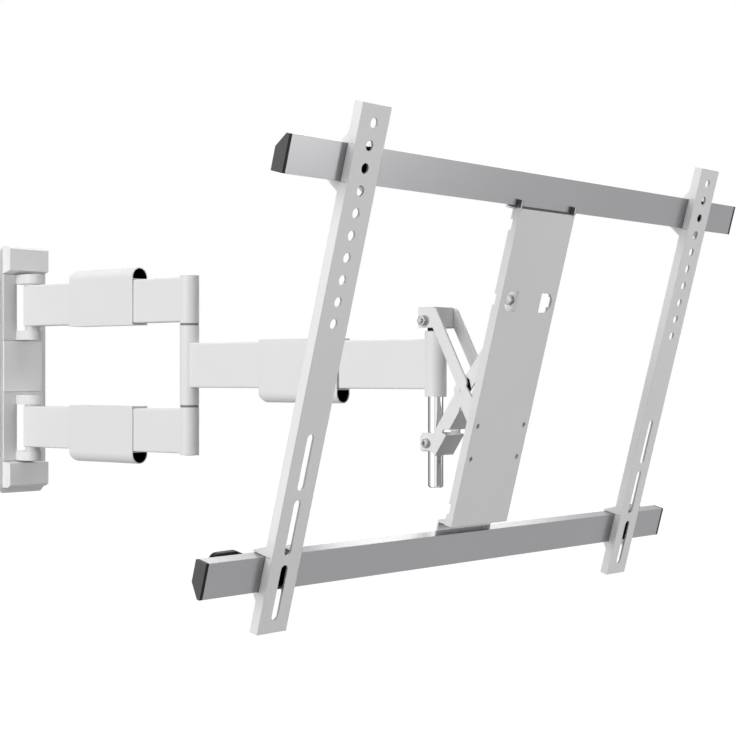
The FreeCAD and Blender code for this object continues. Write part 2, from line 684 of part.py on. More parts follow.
# Lower tilt link: a narrower pair of side sheets that passes between the upper ones
lower_link = new_body("lower_tilt_link", "head")
points = [("-lower_start_reach", "-lower_start_drop"), ("-lower_mid_reach", "-lower_mid_drop"),
          ("-lower_knee_reach", "lower_knee_rise"), ("-ear_pin_reach", "ear_pin_rise")]
for side, word in (("-", "left"), ("", "right")):
    across = f"{side}(lower_link_inside + link_sheet) / 2"
    lug_y = "(lower_lug_back - lower_lug_front) / 2"
    lug_z = "(lower_lug_top - lower_lug_bottom) / 2 - lower_pivot_drop"
    pad(lower_link, rectangle(lower_link, f"{word}_lug_low", "YZ", (across, lug_y, lug_z),
                              "lower_lug_back + lower_lug_front", "lower_lug_top + lower_lug_bottom"), "link_sheet")
    pad(lower_link, band(lower_link, f"{word}_shank", across, points[0], points[1], "lower_link_width"), "link_sheet")
    pad(lower_link, band(lower_link, f"{word}_neck", across, points[1], points[2], "lower_link_width"), "link_sheet")
    pad(lower_link, band(lower_link, f"{word}_finger", across, points[2], points[3], "2 * ear_eye_radius"),
        "link_sheet")
    for spot, word_spot, radius in ((points[1], "mid", "lower_link_width / 2"),
                                    (points[2], "knee", "lower_link_width / 2"),
                                    (points[3], "ear", "ear_eye_radius")):
        pad(lower_link, circle(lower_link, f"{word}_{word_spot}_eye", "YZ", (across, *spot), radius), "link_sheet")
RUN = "sqrt((lower_mid_reach - lower_start_reach) ^ 2 + (lower_start_drop - lower_mid_drop) ^ 2)"
ALONG_Y = f"((lower_mid_reach - lower_start_reach) / {RUN})"
ALONG_Z = f"((lower_start_drop - lower_mid_drop) / {RUN})"
EDGE = "(lower_link_width / 2)"
corner = (f"(-lower_start_reach - {EDGE} * {ALONG_Z})", f"(-lower_start_drop - {EDGE} * {ALONG_Y})")


def along(distance):
    return f"{corner[0]} - ({distance}) * {ALONG_Y}", f"{corner[1]} + ({distance}) * {ALONG_Z}"


WEB_WIDTH = "lower_link_inside + 2 * link_sheet"
pad(lower_link, band(lower_link, "web_low", 0, along("0"), along("lower_web_low"), "link_sheet"), WEB_WIDTH)
pad(lower_link, band(lower_link, "web_high", 0, along("lower_web_low + lower_web_gap"),
                     along("lower_web_low + lower_web_gap + lower_web_high"), "link_sheet"), WEB_WIDTH)
relief_y, relief_z = along("lower_web_low + lower_web_gap / 2")
relief = arch(lower_link, "relief", "YZ", (0, f"{relief_y} - 2 * link_sheet", relief_z), "relief_height / 2",
              "2 * link_sheet + relief_depth - relief_height / 2", -90)
cut(lower_link, relief, WEB_WIDTH)
for name, reach, level, radius in (("low_pivot_hole", "0", "-lower_pivot_drop", "bolt_radius"),
                                   ("low_cross_hole", "-cross_reach", "-cross_drop", "rivet_radius"),
                                   ("ear_hole", "-ear_pin_reach", "ear_pin_rise", "bolt_radius")):
    cut(lower_link, circle(lower_link, name, "YZ", (0, reach, level), f"{radius} + pin_clearance"),
        "lower_link_inside + 4 * link_sheet")

# Slide block on the post, held between the lower link's lugs
slider = new_body("slide_block", "head")
pad(slider, rectangle(slider, "slider_face", "XY", (0, 0, "-lower_pivot_drop"),
                      "lower_link_inside - 2 * slider_side_gap", "slider_depth"), "slider_height")
round_edges(slider, (1, 0, 0), "edge_round")
cut(slider, circle(slider, "slider_bore", "XY", (0, 0, "-lower_pivot_drop"), "post_radius + slider_bore_gap"),
    "slider_height")
for side, word in (("-", "left"), ("", "right")):
    outer = "(lower_link_inside / 2 - slider_side_gap)"
    inner = "(post_radius + slider_bore_gap)"
    place = (f"{side}({outer} + {inner}) / 2", 0, "-lower_pivot_drop")
    cut(slider, circle(slider, f"slider_pin_{word}", "YZ", place, "bolt_radius + pin_clearance"),
        f"{outer} - {inner} + 2")


def rod(body, name, plane, at, radius, start, end):
    # Cylinder square to the plane, between two places on the axis that leaves the plane
    middle = f"(({start}) + ({end})) / 2"
    place = {"YZ": (middle, *at), "XZ": (at[0], middle, at[1]), "XY": (*at, middle)}[plane]
    return pad(body, circle(body, name, plane, place, radius), f"abs(({end}) - ({start}))")


# Bolt, nut and washers of the upper pivot
UPPER_SIDE = "(upper_link_inside / 2 + link_sheet)"
at = ("0", "upper_pivot_rise")
upper_bolt = new_body("upper_link_bolt", "head")
rod(upper_bolt, "upper_shaft", "YZ", at, "bolt_radius",
    f"-({UPPER_SIDE} + washer_thick + bolt_head_height + bolt_end)", f"{UPPER_SIDE} + washer_thick")
rod(upper_bolt, "upper_head", "YZ", at, "bolt_head_radius", f"{UPPER_SIDE} + washer_thick",
    f"{UPPER_SIDE} + washer_thick + bolt_head_height")
upper_nut = new_body("upper_link_nut", "head")
place = (f"-({UPPER_SIDE} + washer_thick + bolt_head_height / 2)", *at)
pad(upper_nut, hexagon(upper_nut, "upper_nut_face", place, "hex_radius"), "bolt_head_height")
cut(upper_nut, circle(upper_nut, "upper_nut_bore", "YZ", place, "bolt_radius + pin_clearance"), "bolt_head_height")
upper_washers = new_body("upper_link_washers", "head")
for side, word in (("-", "left"), ("", "right")):
    rod(upper_washers, f"upper_washer_{word}", "YZ", at, "washer_radius", f"{side}{UPPER_SIDE}",
        f"{side}({UPPER_SIDE} + washer_thick)")
cut(upper_washers, circle(upper_washers, "upper_washer_bore", "YZ", (0, *at), "bolt_radius + pin_clearance"),
    f"2 * {UPPER_SIDE} + 4 * washer_thick")

# Shoulder screws from both sides into the slide block
LOWER_SIDE = "(lower_link_inside / 2 + link_sheet)"
at = ("0", "-lower_pivot_drop")
lower_bolts = new_body("lower_link_bolts", "head")
for side, word in (("-", "left"), ("", "right")):
    rod(lower_bolts, f"lower_shaft_{word}", "YZ", at, "bolt_radius",
        f"{side}(post_radius + slider_bore_gap + bolt_tip_gap)", f"{side}{LOWER_SIDE}")
    rod(lower_bolts, f"lower_head_{word}", "YZ", at, "bolt_head_radius", f"{side}{LOWER_SIDE}",
        f"{side}({LOWER_SIDE} + bolt_head_height)")

# Rivets where the two links cross, with a collar between the sheets
at = ("-cross_reach", "-cross_drop")
rivets = new_body("crossing_rivets", "head")
for side, word in (("-", "left"), ("", "right")):
    rod(rivets, f"rivet_{word}", "YZ", at, "rivet_radius", f"{side}(lower_link_inside / 2 - rivet_head_height)",
        f"{side}({UPPER_SIDE} + rivet_tip_height)")
    rod(rivets, f"rivet_outer_{word}", "YZ", at, "rivet_tip_radius", f"{side}{UPPER_SIDE}",
        f"{side}({UPPER_SIDE} + rivet_tip_height)")
    rod(rivets, f"rivet_inner_{word}", "YZ", at, "rivet_head_radius",
        f"{side}(lower_link_inside / 2 - rivet_head_height)", f"{side}lower_link_inside / 2")
    rod(rivets, f"rivet_collar_{word}", "YZ", at, "rivet_head_radius", f"{side}{LOWER_SIDE}",
        f"{side}upper_link_inside / 2")

# Pin at the foot of the upper link, which runs in the slots of the pivot bracket
at = ("-front_pin_reach", "-front_pin_drop")
BRACKET_SIDE = "(bracket_ear_side + link_sheet)"
front_pin = new_body("lower_front_pin", "head")
rod(front_pin, "front_pin_face", "YZ", at, "front_pin_radius", f"-({BRACKET_SIDE} + front_pin_over)",
    f"{BRACKET_SIDE} + front_pin_over")
for side, word in (("-", "left"), ("", "right")):
    rod(front_pin, f"front_pin_end_{word}", "YZ", at, "front_pin_radius + front_pin_lip",
        f"{side}({BRACKET_SIDE} + bracket_slot_gap)", f"{side}({BRACKET_SIDE} + front_pin_over)")

# Tilt plate, a folded sheet with bent-back ears and two tabs over the top bar
PLATE_BACK = "(tilt_plate_front + panel_sheet)"
PLATE_MIDDLE = "(tilt_plate_front + panel_sheet / 2)"
PLATE_HALF = "(tilt_plate_width / 2)"
PLATE_TALL = "(tilt_plate_top + tilt_plate_bottom)"
PLATE_LEVEL = "((tilt_plate_top - tilt_plate_bottom) / 2)"
tilt_plate = new_body("tilt_plate", "panel")
pad(tilt_plate, rectangle(tilt_plate, "tilt_sheet", "XZ", (0, PLATE_MIDDLE, PLATE_LEVEL), "tilt_plate_width",
                          PLATE_TALL), "panel_sheet")
for side, word in (("-", "left"), ("", "right")):
    across = f"{side}({PLATE_HALF} - panel_sheet / 2)"
    deep = "tilt_plate_front + tilt_plate_flange / 2"
    pad(tilt_plate, rectangle(tilt_plate, f"tilt_flange_{word}", "YZ", (across, deep, PLATE_LEVEL),
                              "tilt_plate_flange", PLATE_TALL), "panel_sheet")
    pad(tilt_plate, rectangle(tilt_plate, f"tilt_tab_{word}", "YZ",
                              (across, "tilt_plate_front + tab_depth / 2", "tilt_plate_top + tab_rise / 2"),
                              "tab_depth", "tab_rise"), "panel_sheet")
    for level, word_level in (("upper_notch_level", "high"), ("ear_pin_level", "middle"),
                              ("-lower_notch_level", "low")):
        rear = (across, "tilt_plate_front + tilt_plate_flange", level)
        cut(tilt_plate, rectangle(tilt_plate, f"notch_{word}_{word_level}", "YZ", rear, "2 * flange_notch",
                                  "flange_notch_length"), "2 * panel_sheet")
    turn = "90" if side else "-90"
    opening = arch(tilt_plate, f"ear_window_{word}", "XZ",
                   (f"{side}(ear_side + panel_sheet)", PLATE_MIDDLE, "ear_pin_level"), "ear_radius",
                   "window_reach - ear_radius", turn)
    cut(tilt_plate, opening, "2 * panel_sheet")
    ear = arch(tilt_plate, f"ear_{word}", "YZ", (f"{side}(ear_side + panel_sheet / 2)", "tilt_plate_front",
                                                 "ear_pin_level"), "ear_radius",
               "ear_pin_depth - tilt_plate_front", "-90")
    pad(tilt_plate, ear, "panel_sheet")
cut(tilt_plate, circle(tilt_plate, "ear_bores", "YZ", (0, "ear_pin_depth", "ear_pin_level"),
                       "bolt_radius + pin_clearance"), "2 * ear_side + 4 * panel_sheet")
SCREWS = []
for across in ("-", ""):
    for up in ("-", ""):
        word = f"{'left' if across else 'right'}_{'low' if up else 'high'}"
        SCREWS.append((word, f"{across}bracket_screw_side", f"{up}bracket_screw_pitch / 2 - bracket_screw_level"))
for word, across, level in SCREWS:
    cut(tilt_plate, circle(tilt_plate, f"plate_hole_{word}", "XZ", (across, PLATE_MIDDLE, level),
                           "small_screw_radius + pin_clearance"), "2 * panel_sheet")

# Pivot bracket with two slotted ears behind the tilt plate
bracket = new_body("pivot_bracket", "panel")
BRACKET_MIDDLE = f"({PLATE_BACK} + panel_sheet / 2)"
pad(bracket, rectangle(bracket, "bracket_base", "XZ", (0, BRACKET_MIDDLE, "-bracket_screw_level"), "bracket_width",
                       "bracket_height"), "panel_sheet")
round_edges(bracket, (0, 1, 0), "edge_round")
# The pin of the upper link as seen in the tilted frame
LEAD = "(ear_pin_reach - front_pin_reach)"
FALL = "(ear_pin_rise + front_pin_drop)"
PIN_DEPTH = f"(ear_pin_depth + {LEAD} * cos(tilt_angle * 1 deg) - {FALL} * sin(tilt_angle * 1 deg))"
PIN_LEVEL = f"(ear_pin_level - {LEAD} * sin(tilt_angle * 1 deg) - {FALL} * cos(tilt_angle * 1 deg))"
SLOT_MIDDLE = f"({PIN_LEVEL} - bracket_slot_travel / 2)"
for side, word in (("-", "left"), ("", "right")):
    across = f"{side}(bracket_ear_side + link_sheet / 2)"
    place = (across, f"{PLATE_BACK} + (panel_sheet + bracket_ear_depth) / 2", SLOT_MIDDLE)
    pad(bracket, rectangle(bracket, f"bracket_ear_{word}", "YZ", place, "panel_sheet + bracket_ear_depth",
                           "bracket_ear_height"), "link_sheet")
cut(bracket, slot(bracket, "bracket_slots", "YZ", (0, PIN_DEPTH, SLOT_MIDDLE),
                  "2 * (front_pin_radius + bracket_slot_gap)",
                  "2 * (front_pin_radius + bracket_slot_gap) + bracket_slot_travel"), "bracket_width")
for word, across, level in SCREWS:
    cut(bracket, circle(bracket, f"bracket_hole_{word}", "XZ", (across, BRACKET_MIDDLE, level),
                        "small_screw_radius + pin_clearance"), "2 * panel_sheet")
bracket_screws = new_body("bracket_screws", "panel")
for word, across, level in SCREWS:
    face = f"({PLATE_BACK} + panel_sheet)"
    rod(bracket_screws, f"screw_{word}", "XZ", (across, level), "small_screw_radius",
        "tilt_plate_front + screw_recess", face)
    rod(bracket_screws, f"screw_head_{word}", "XZ", (across, level), "small_screw_head", face,
        f"{face} + small_screw_rise")

# Bolt through the ears, with a thin nut on the right and a ring on the left of the lower link
at = ("ear_pin_depth", "ear_pin_level")
EAR_OUT = "(ear_side + panel_sheet)"
EAR_IN = "(ear_side - (lower_link_inside / 2 + link_sheet + slider_side_gap))"
ear_bolt = new_body("ear_bolt", "panel")
rod(ear_bolt, "ear_shaft", "YZ", at, "bolt_radius", f"-{EAR_OUT}", EAR_OUT)
place = (f"-({EAR_OUT} + bolt_head_height / 2)", *at)
pad(ear_bolt, hexagon(ear_bolt, "ear_head", place, "hex_radius"), "bolt_head_height")
ear_nut = new_body("ear_nut", "panel")
place = (f"ear_side - {EAR_IN} / 2", *at)
pad(ear_nut, hexagon(ear_nut, "ear_nut_face", place, "hex_radius"), EAR_IN)
cut(ear_nut, circle(ear_nut, "ear_nut_bore", "YZ", place, "bolt_radius + pin_clearance"), EAR_IN)
ear_rings = new_body("ear_spacers", "panel")
place = (f"{EAR_IN} / 2 - ear_side", *at)
pad(ear_rings, circle(ear_rings, "ear_ring", "YZ", place, "ear_eye_radius"), EAR_IN)
cut(ear_rings, circle(ear_rings, "ear_ring_bore", "YZ", place, "bolt_radius + pin_clearance"), EAR_IN)

# Cross bars: hollow profiles with a bevel on the outer back edge, and their end caps
BAR_BACK = "(bar_front + bar_depth)"
SLANT = "sqrt(bar_bevel_height ^ 2 + bar_bevel_depth ^ 2)"
SLIDE_Y = f"(({SLANT} - bar_bevel_depth) / bar_bevel_height)"
SLIDE_Z = f"(({SLANT} - bar_bevel_height) / bar_bevel_depth)"


def bar_outline(body, name, across, sign, level, wall):
    inner = f"(bar_height / 2 - {wall})"
    slope = f"(bar_height / 2 - bar_bevel_height - ({wall}) * {SLIDE_Z})"
    return outline(body, name, "YZ", (across, "0", f"{sign}{level}"), [
        (f"bar_front + {wall}", f"-{sign or '+'}{inner}"), (f"{BAR_BACK} - {wall}", f"-{sign or '+'}{inner}"),
        (f"{BAR_BACK} - {wall}", f"{sign}{slope}"),
        (f"{BAR_BACK} - bar_bevel_depth - ({wall}) * {SLIDE_Y}", f"{sign}{inner}"),
        (f"bar_front + {wall}", f"{sign}{inner}")])


for sign, word, level in (("", "top", "top_bar_level"), ("-", "bottom", "bottom_bar_level")):
    bar = new_body(f"{word}_bar", "panel")
    pad(bar, bar_outline(bar, f"{word}_bar_outer", "0", sign, level, "0"), "bar_length")
    cut(bar, bar_outline(bar, f"{word}_bar_inner", "0", sign, level, "bar_wall"), "bar_length")
    ends = new_body(f"{word}_bar_caps", "panel")
    for side, word_side in (("-", "left"), ("", "right")):
        outer_end = f"{side}(bar_length + bar_cap_thick) / 2"
        face = bar_outline(ends, f"{word}_cap_{word_side}", outer_end, sign, level, "0")
        pad(ends, face, "bar_cap_thick")
        plug = bar_outline(ends, f"{word}_plug_{word_side}", f"{side}(bar_length - bar_plug_depth) / 2", sign, level,
                           "(bar_wall + plug_gap)")
        pad(ends, plug, "bar_plug_depth")

# Holders that join the bars to the tilt plate: a base, a shelf and a rear sheet behind the bar
HOLDER_WIDTH = "(tilt_plate_width - 2 * panel_sheet - 2 * plug_gap)"
HOLDER_SCREWS = []
for sign, word, level, shelf, edge in (
        ("", "top", "top_bar_level", "(top_bar_level - bar_height / 2 - bar_pad_thick)", "tilt_plate_top"),
        ("-", "bottom", "bottom_bar_level", "tilt_plate_bottom", "tilt_plate_bottom")):
    holder = new_body(f"{word}_holder", "panel")
    foot = f"({edge} - holder_base_height)"
    rear = f"({BAR_BACK} + bar_clearance)"
    over = f"({level} - bar_height / 2 + holder_back_over)"
    pad(holder, rectangle(holder, f"{word}_base", "XZ", (0, f"{PLATE_BACK} + holder_sheet / 2",
                                                         f"{sign}({shelf} + {foot}) / 2"),
                          HOLDER_WIDTH, f"{shelf} - {foot}"), "holder_sheet")
    deep = f"{rear} + holder_sheet - {PLATE_BACK}"
    middle = f"({rear} + holder_sheet + {PLATE_BACK}) / 2"
    pad(holder, rectangle(holder, f"{word}_shelf", "YZ", (0, middle, f"{sign}({shelf} - holder_sheet / 2)"), deep,
                          "holder_sheet"), HOLDER_WIDTH)
    pad(holder, rectangle(holder, f"{word}_back", "YZ", (0, f"{rear} + holder_sheet / 2",
                                                         f"{sign}({shelf} - holder_sheet + {over}) / 2"),
                          "holder_sheet", f"{over} - {shelf} + holder_sheet"), HOLDER_WIDTH)
    for side, word_side in (("-", "left"), ("", "right")):
        base_place = (f"{side}holder_screw_side", f"{sign}({foot} + holder_screw_inset / 2)")
        bar_place = (f"{side}holder_screw_side", f"{sign}({over} - holder_back_over / 2)")
        HOLDER_SCREWS.append((f"{word}_base_{word_side}", base_place, PLATE_MIDDLE, f"{PLATE_BACK} + holder_sheet"))
        HOLDER_SCREWS.append((f"{word}_back_{word_side}", bar_place, f"{BAR_BACK} - bar_wall",
                              f"{rear} + holder_sheet"))
holder_screws = new_body("holder_screws", "panel")
for name, place, start, end in HOLDER_SCREWS:
    rod(holder_screws, f"shaft_{name}", "XZ", place, "small_screw_radius", start, end)
    rod(holder_screws, f"head_{name}", "XZ", place, "small_screw_head", end, f"{end} + small_screw_rise")


def drill(body, names):
    for name, place, start, end in HOLDER_SCREWS:
        if name in names:
            at = (place[0], f"(({start}) + ({end})) / 2", place[1])
            hole = circle(body, f"{body.Name}_{name}", "XZ", at, "small_screw_radius + pin_clearance")
            cut(body, hole, f"({end}) - ({start}) + pin_clearance")


by_name = {body.Label: body for body in pieces}
drill(by_name["tilt_plate"], ["top_base_left", "top_base_right", "bottom_base_left", "bottom_base_right"])
for word in ("top", "bottom"):
    drill(by_name[f"{word}_holder"], [f"{word}_base_left", f"{word}_base_right", f"{word}_back_left",
                                      f"{word}_back_right"])
    drill(by_name[f"{word}_bar"], [f"{word}_back_left", f"{word}_back_right"])

# Thin black pads on both faces of the tabs, and a pad strip between the top holder and the bar
pads = new_body("clip_pads", "panel")
for side, word in (("-", "left"), ("", "right")):
    for inset, word_face in (("-clip_width / 2", "out"), ("panel_sheet + clip_width / 2", "in")):
        place = (f"{side}({PLATE_HALF} - ({inset}))", "tilt_plate_front + tab_depth / 2",
                 "tilt_plate_top + tab_rise - clip_height / 2")
        pad(pads, rectangle(pads, f"clip_{word}_{word_face}", "XZ", place, "clip_width", "clip_height"), "tab_depth")
strip = (0, "bar_front + bar_depth / 2", "top_bar_level - bar_height / 2 - bar_pad_thick / 2")
pad(pads, rectangle(pads, "bar_pad", "XZ", strip, HOLDER_WIDTH, "bar_pad_thick"), "bar_depth")

# Screen rails with all that slides along the bars with them
NOTCH_FRONT = "(bar_front - bar_clearance)"
TOP_HIGH = "(top_bar_level + bar_height / 2 + bar_clearance)"
TOP_LOW = "(top_bar_level - bar_height / 2 - bar_clearance)"
BOTTOM_HIGH = "(bar_height / 2 + bar_clearance - bottom_bar_level)"
BOTTOM_LOW = "(-bottom_bar_level - bar_height / 2 - bar_clearance)"
INSIDE = "(rail_width - 2 * panel_sheet - 2 * retainer_side_gap)"
RAIL_REAR = f"({BAR_BACK} + bar_clearance)"
for side, word in (("-", "left"), ("", "right")):
    centre = f"({side}rail_spacing / 2)"
    rail = new_body(f"{word}_rail", "panel")
    pad(rail, rectangle(rail, f"{word}_web", "XZ", (centre, "panel_sheet / 2", "(rail_top - rail_bottom) / 2"),
                        "rail_width", "rail_top + rail_bottom"), "panel_sheet")
    for edge, word_edge in (("-", "inner"), ("", "outer")):
        across = f"{centre} + {side}({edge}(rail_width - panel_sheet) / 2)"
        pad(rail, outline(rail, f"{word}_flange_{word_edge}", "YZ", (across, "0", "0"), [
            ("0", "rail_top"), ("rail_depth", "rail_top"),
            ("rail_depth", f"{TOP_HIGH} + ear_slope_height"), ("outer_ear_depth", f"{TOP_HIGH} + ear_tip_height"),
            ("outer_ear_depth", TOP_HIGH), ("panel_sheet", TOP_HIGH), ("panel_sheet", TOP_LOW),
            ("inner_ear_depth", TOP_LOW), ("inner_ear_depth", f"{TOP_LOW} - ear_tip_height"),
            ("rail_depth", f"{TOP_LOW} - ear_slope_height"), ("rail_depth", f"{BOTTOM_HIGH} + ear_slope_height"),
            ("inner_ear_depth", f"{BOTTOM_HIGH} + ear_tip_height"), ("inner_ear_depth", BOTTOM_HIGH),
            ("panel_sheet", BOTTOM_HIGH), ("panel_sheet", BOTTOM_LOW), ("outer_ear_depth", BOTTOM_LOW),
            ("outer_ear_depth", f"{BOTTOM_LOW} - ear_tip_height"),
            ("rail_depth", f"{BOTTOM_LOW} - ear_slope_height"), ("rail_depth", "-rail_bottom"),
            ("0", "-rail_bottom")]), "panel_sheet")
    hole = cut(rail, circle(rail, f"{word}_hole", "XZ", (centre, 0, "rail_hole_top"), "rail_hole_radius"),
               "3 * panel_sheet")
    repeat(rail, hole, "Z", "rail_hole_pitch", "rail_hole_count")
    long_hole = cut(rail, slot(rail, f"{word}_slot", "XZ", (centre, 0, "-rail_slot_level"), "rail_slot_width",
                               "rail_slot_length"), "3 * panel_sheet")
    repeat(rail, long_hole, "Z", "rail_slot_pitch", "rail_slot_count")

    glides = new_body(f"{word}_glides", "panel")
    deep = f"({NOTCH_FRONT} - panel_sheet)"
    for level, tall, word_level in (("top_bar_level", "bar_height", "high"),
                                    ("glide_short / 2 - bottom_bar_level", "(bar_height - glide_short)", "low")):
        pad(glides, rectangle(glides, f"{word}_glide_{word_level}", "XZ",
                              (centre, f"panel_sheet + {deep} / 2", level), "rail_width", tall), deep)
        cut(glides, rectangle(glides, f"{word}_hollow_{word_level}", "XZ",
                              (centre, f"panel_sheet + ({deep} - glide_wall) / 2", level),
                              "rail_width - 2 * glide_wall", f"{tall} - 2 * glide_wall"), f"{deep} - glide_wall")

    retainer = new_body(f"{word}_retainer", "panel")
    pad(retainer, outline(retainer, f"{word}_retainer_side", "YZ", (centre, "0", TOP_LOW), [
        ("panel_sheet", "0"), ("panel_sheet", "-retainer_thick"), (f"{RAIL_REAR} + retainer_back", "-retainer_thick"),
        (f"{RAIL_REAR} + retainer_back", "retainer_hook"), (RAIL_REAR, "retainer_hook"), (RAIL_REAR, "0")]), INSIDE)

    lock = new_body(f"{word}_lock_block", "panel")
    pad(lock, outline(lock, f"{word}_lock_side", "YZ", (centre, "0", BOTTOM_HIGH), [
        ("panel_sheet", "0"), ("panel_sheet", "lock_rise"), (f"{RAIL_REAR} + retainer_back", "lock_rise"),
        (f"{RAIL_REAR} + retainer_back", "-lock_hook"), (RAIL_REAR, "-lock_hook"), (RAIL_REAR, "0")]), INSIDE)
    cut(lock, circle(lock, f"{word}_lock_bore", "XZ", (centre, f"{RAIL_REAR} + retainer_back / 2",
                                                       "-lever_pivot_level"), "lever_pivot_radius + pin_clearance"),
        "retainer_back")

    lever_front = f"({RAIL_REAR} + retainer_back + lever_gap)"
    lever = new_body(f"{word}_lever", "panel")
    hub = (centre, f"{lever_front} + lever_thick / 2", "-lever_pivot_level")
    tip = (f"{centre} + {side}lever_reach", hub[1], "lever_rise - lever_pivot_level")
    pad(lever, circle(lever, f"{word}_hub", "XZ", hub, "lever_hub_radius"), "lever_thick")
    pad(lever, outline(lever, f"{word}_handle", "XZ", (centre, hub[1], "-lever_pivot_level"), [
        ("0", "-lever_neck"), (f"{side}lever_reach", "lever_rise - lever_tip_radius"),
        (f"{side}lever_reach", "lever_rise + lever_tip_radius"), ("0", "lever_neck")]), "lever_thick")
    pad(lever, circle(lever, f"{word}_tip", "XZ", tip, "lever_tip_radius"), "lever_thick")
    cut(lever, circle(lever, f"{word}_lever_bore", "XZ", hub, "lever_pivot_radius + pin_clearance"), "lever_thick")
    lever_pin = new_body(f"{word}_lever_pin", "panel")
    out = f"({lever_front} + lever_thick + lever_gap)"
    rod(lever_pin, f"{word}_lever_shaft", "XZ", (centre, "-lever_pivot_level"), "lever_pivot_radius", RAIL_REAR, out)
    rod(lever_pin, f"{word}_lever_head", "XZ", (centre, "-lever_pivot_level"), "lever_head_radius", out,
        f"{out} + lever_head_height")

doc.recompute()
for thing in doc.Objects:
    if "Invalid" in thing.State or "Error" in thing.State:
        raise RuntimeError(f"{thing.Label} did not solve")
    if thing.TypeId == "Sketcher::SketchObject" and not thing.FullyConstrained:
        raise RuntimeError(f"{thing.Label} is not fully constrained")
for body in pieces:
    shape = body.Shape
    if shape.isNull() or not shape.isValid():
        raise RuntimeError(f"{body.Label} has no valid shape")
for name in os.listdir("parts"):
    os.remove(os.path.join("parts", name))
for body in pieces:
    body.Shape.exportStep(f"parts/{body.Label}.step")
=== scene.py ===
import math

import bmesh
import bpy
from mathutils import Matrix, Vector


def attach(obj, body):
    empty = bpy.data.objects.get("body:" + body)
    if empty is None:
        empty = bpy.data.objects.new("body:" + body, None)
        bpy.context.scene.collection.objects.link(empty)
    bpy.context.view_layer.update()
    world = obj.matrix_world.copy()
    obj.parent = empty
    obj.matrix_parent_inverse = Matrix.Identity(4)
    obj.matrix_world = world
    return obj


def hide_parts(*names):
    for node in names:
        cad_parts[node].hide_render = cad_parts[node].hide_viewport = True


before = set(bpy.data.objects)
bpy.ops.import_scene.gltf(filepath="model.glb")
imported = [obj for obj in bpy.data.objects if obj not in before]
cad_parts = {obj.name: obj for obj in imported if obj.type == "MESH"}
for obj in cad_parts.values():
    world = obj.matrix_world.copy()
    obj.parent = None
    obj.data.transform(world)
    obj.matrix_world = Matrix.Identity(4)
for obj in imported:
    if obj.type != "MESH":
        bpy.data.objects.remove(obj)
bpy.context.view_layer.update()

# Studio
# The mount hangs before a level long lens, well above a pale floor. One large soft panel lights it
# from the left, and smaller ones from the wall side, the front, the back and above.

scene = bpy.context.scene
scene.view_settings.view_transform = "Standard"

LENS_PIXELS = 1664.3
PICTURE_PIXELS = 736
HORIZON_PIXEL = 375.3
SENSOR_WIDTH = 36.0
CAMERA_PLACE = (-1.4153, -1.7840, -0.0121)
CAMERA_TURN = -50.225
camera_data = bpy.data.cameras.new("camera")
camera_data.sensor_width = SENSOR_WIDTH
camera_data.lens = LENS_PIXELS / PICTURE_PIXELS * camera_data.sensor_width
camera_data.shift_y = (HORIZON_PIXEL - PICTURE_PIXELS / 2) / PICTURE_PIXELS
camera = bpy.data.objects.new("camera", camera_data)
camera.location = CAMERA_PLACE
camera.rotation_euler = (math.radians(90.0), 0.0, math.radians(CAMERA_TURN))
scene.collection.objects.link(camera)
scene.camera = camera


def white_for_rays(nodes, links, seen, lit):
    # White to the camera, to gloss and through glass, and plain light on everything else
    path = nodes.new("ShaderNodeLightPath")
    any_ray = path.outputs["Is Camera Ray"]
    for ray in ("Is Glossy Ray", "Is Transmission Ray"):
        either = nodes.new("ShaderNodeMath")
        either.operation = "MAXIMUM"
        links.new(any_ray, either.inputs[0])
        links.new(path.outputs[ray], either.inputs[1])
        any_ray = either.outputs[0]
    level = nodes.new("ShaderNodeMapRange")
    level.inputs["To Min"].default_value = lit
    level.inputs["To Max"].default_value = seen
    links.new(any_ray, level.inputs["Value"])
    return level.outputs["Result"]


WHITE = (1.0, 1.0, 1.0, 1.0)
ROOM_LIGHT = 0.10
world = bpy.data.worlds.new("studio_room")
world.use_nodes = True
world_nodes, world_links = world.node_tree.nodes, world.node_tree.links
sky = world_nodes["Background"]
sky.inputs["Color"].default_value = WHITE
room_white = white_for_rays(world_nodes, world_links, 1.0, ROOM_LIGHT)
world_links.new(room_white, sky.inputs["Strength"])
scene.world = world

FLOOR_LEVEL = -1.7
FLOOR_REACH = 40.0
FLOOR_GREY = (0.16, 0.16, 0.16, 1.0)
FLOOR_WHITE = 0.97
floor_mesh = bpy.data.meshes.new("floor")
floor_shape = bmesh.new()
bmesh.ops.create_grid(floor_shape, x_segments=1, y_segments=1, size=FLOOR_REACH)
bmesh.ops.translate(floor_shape, verts=floor_shape.verts, vec=(0.0, 0.0, FLOOR_LEVEL))
floor_shape.to_mesh(floor_mesh)
floor_shape.free()
floor = bpy.data.objects.new("floor", floor_mesh)
scene.collection.objects.link(floor)
floor_paint = bpy.data.materials.new("floor_paint")
floor_paint.use_nodes = True
floor_nodes, floor_links = floor_paint.node_tree.nodes, floor_paint.node_tree.links
floor_shader = floor_nodes["Principled BSDF"]
floor_shader.inputs["Base Color"].default_value = FLOOR_GREY
floor_shader.inputs["Roughness"].default_value = 0.9
floor_shader.inputs["Specular IOR Level"].default_value = 0.1
floor_shader.inputs["Emission Color"].default_value = WHITE
floor_white = white_for_rays(floor_nodes, floor_links, FLOOR_WHITE, 0.0)
floor_links.new(floor_white, floor_shader.inputs["Emission Strength"])
floor_mesh.materials.append(floor_paint)

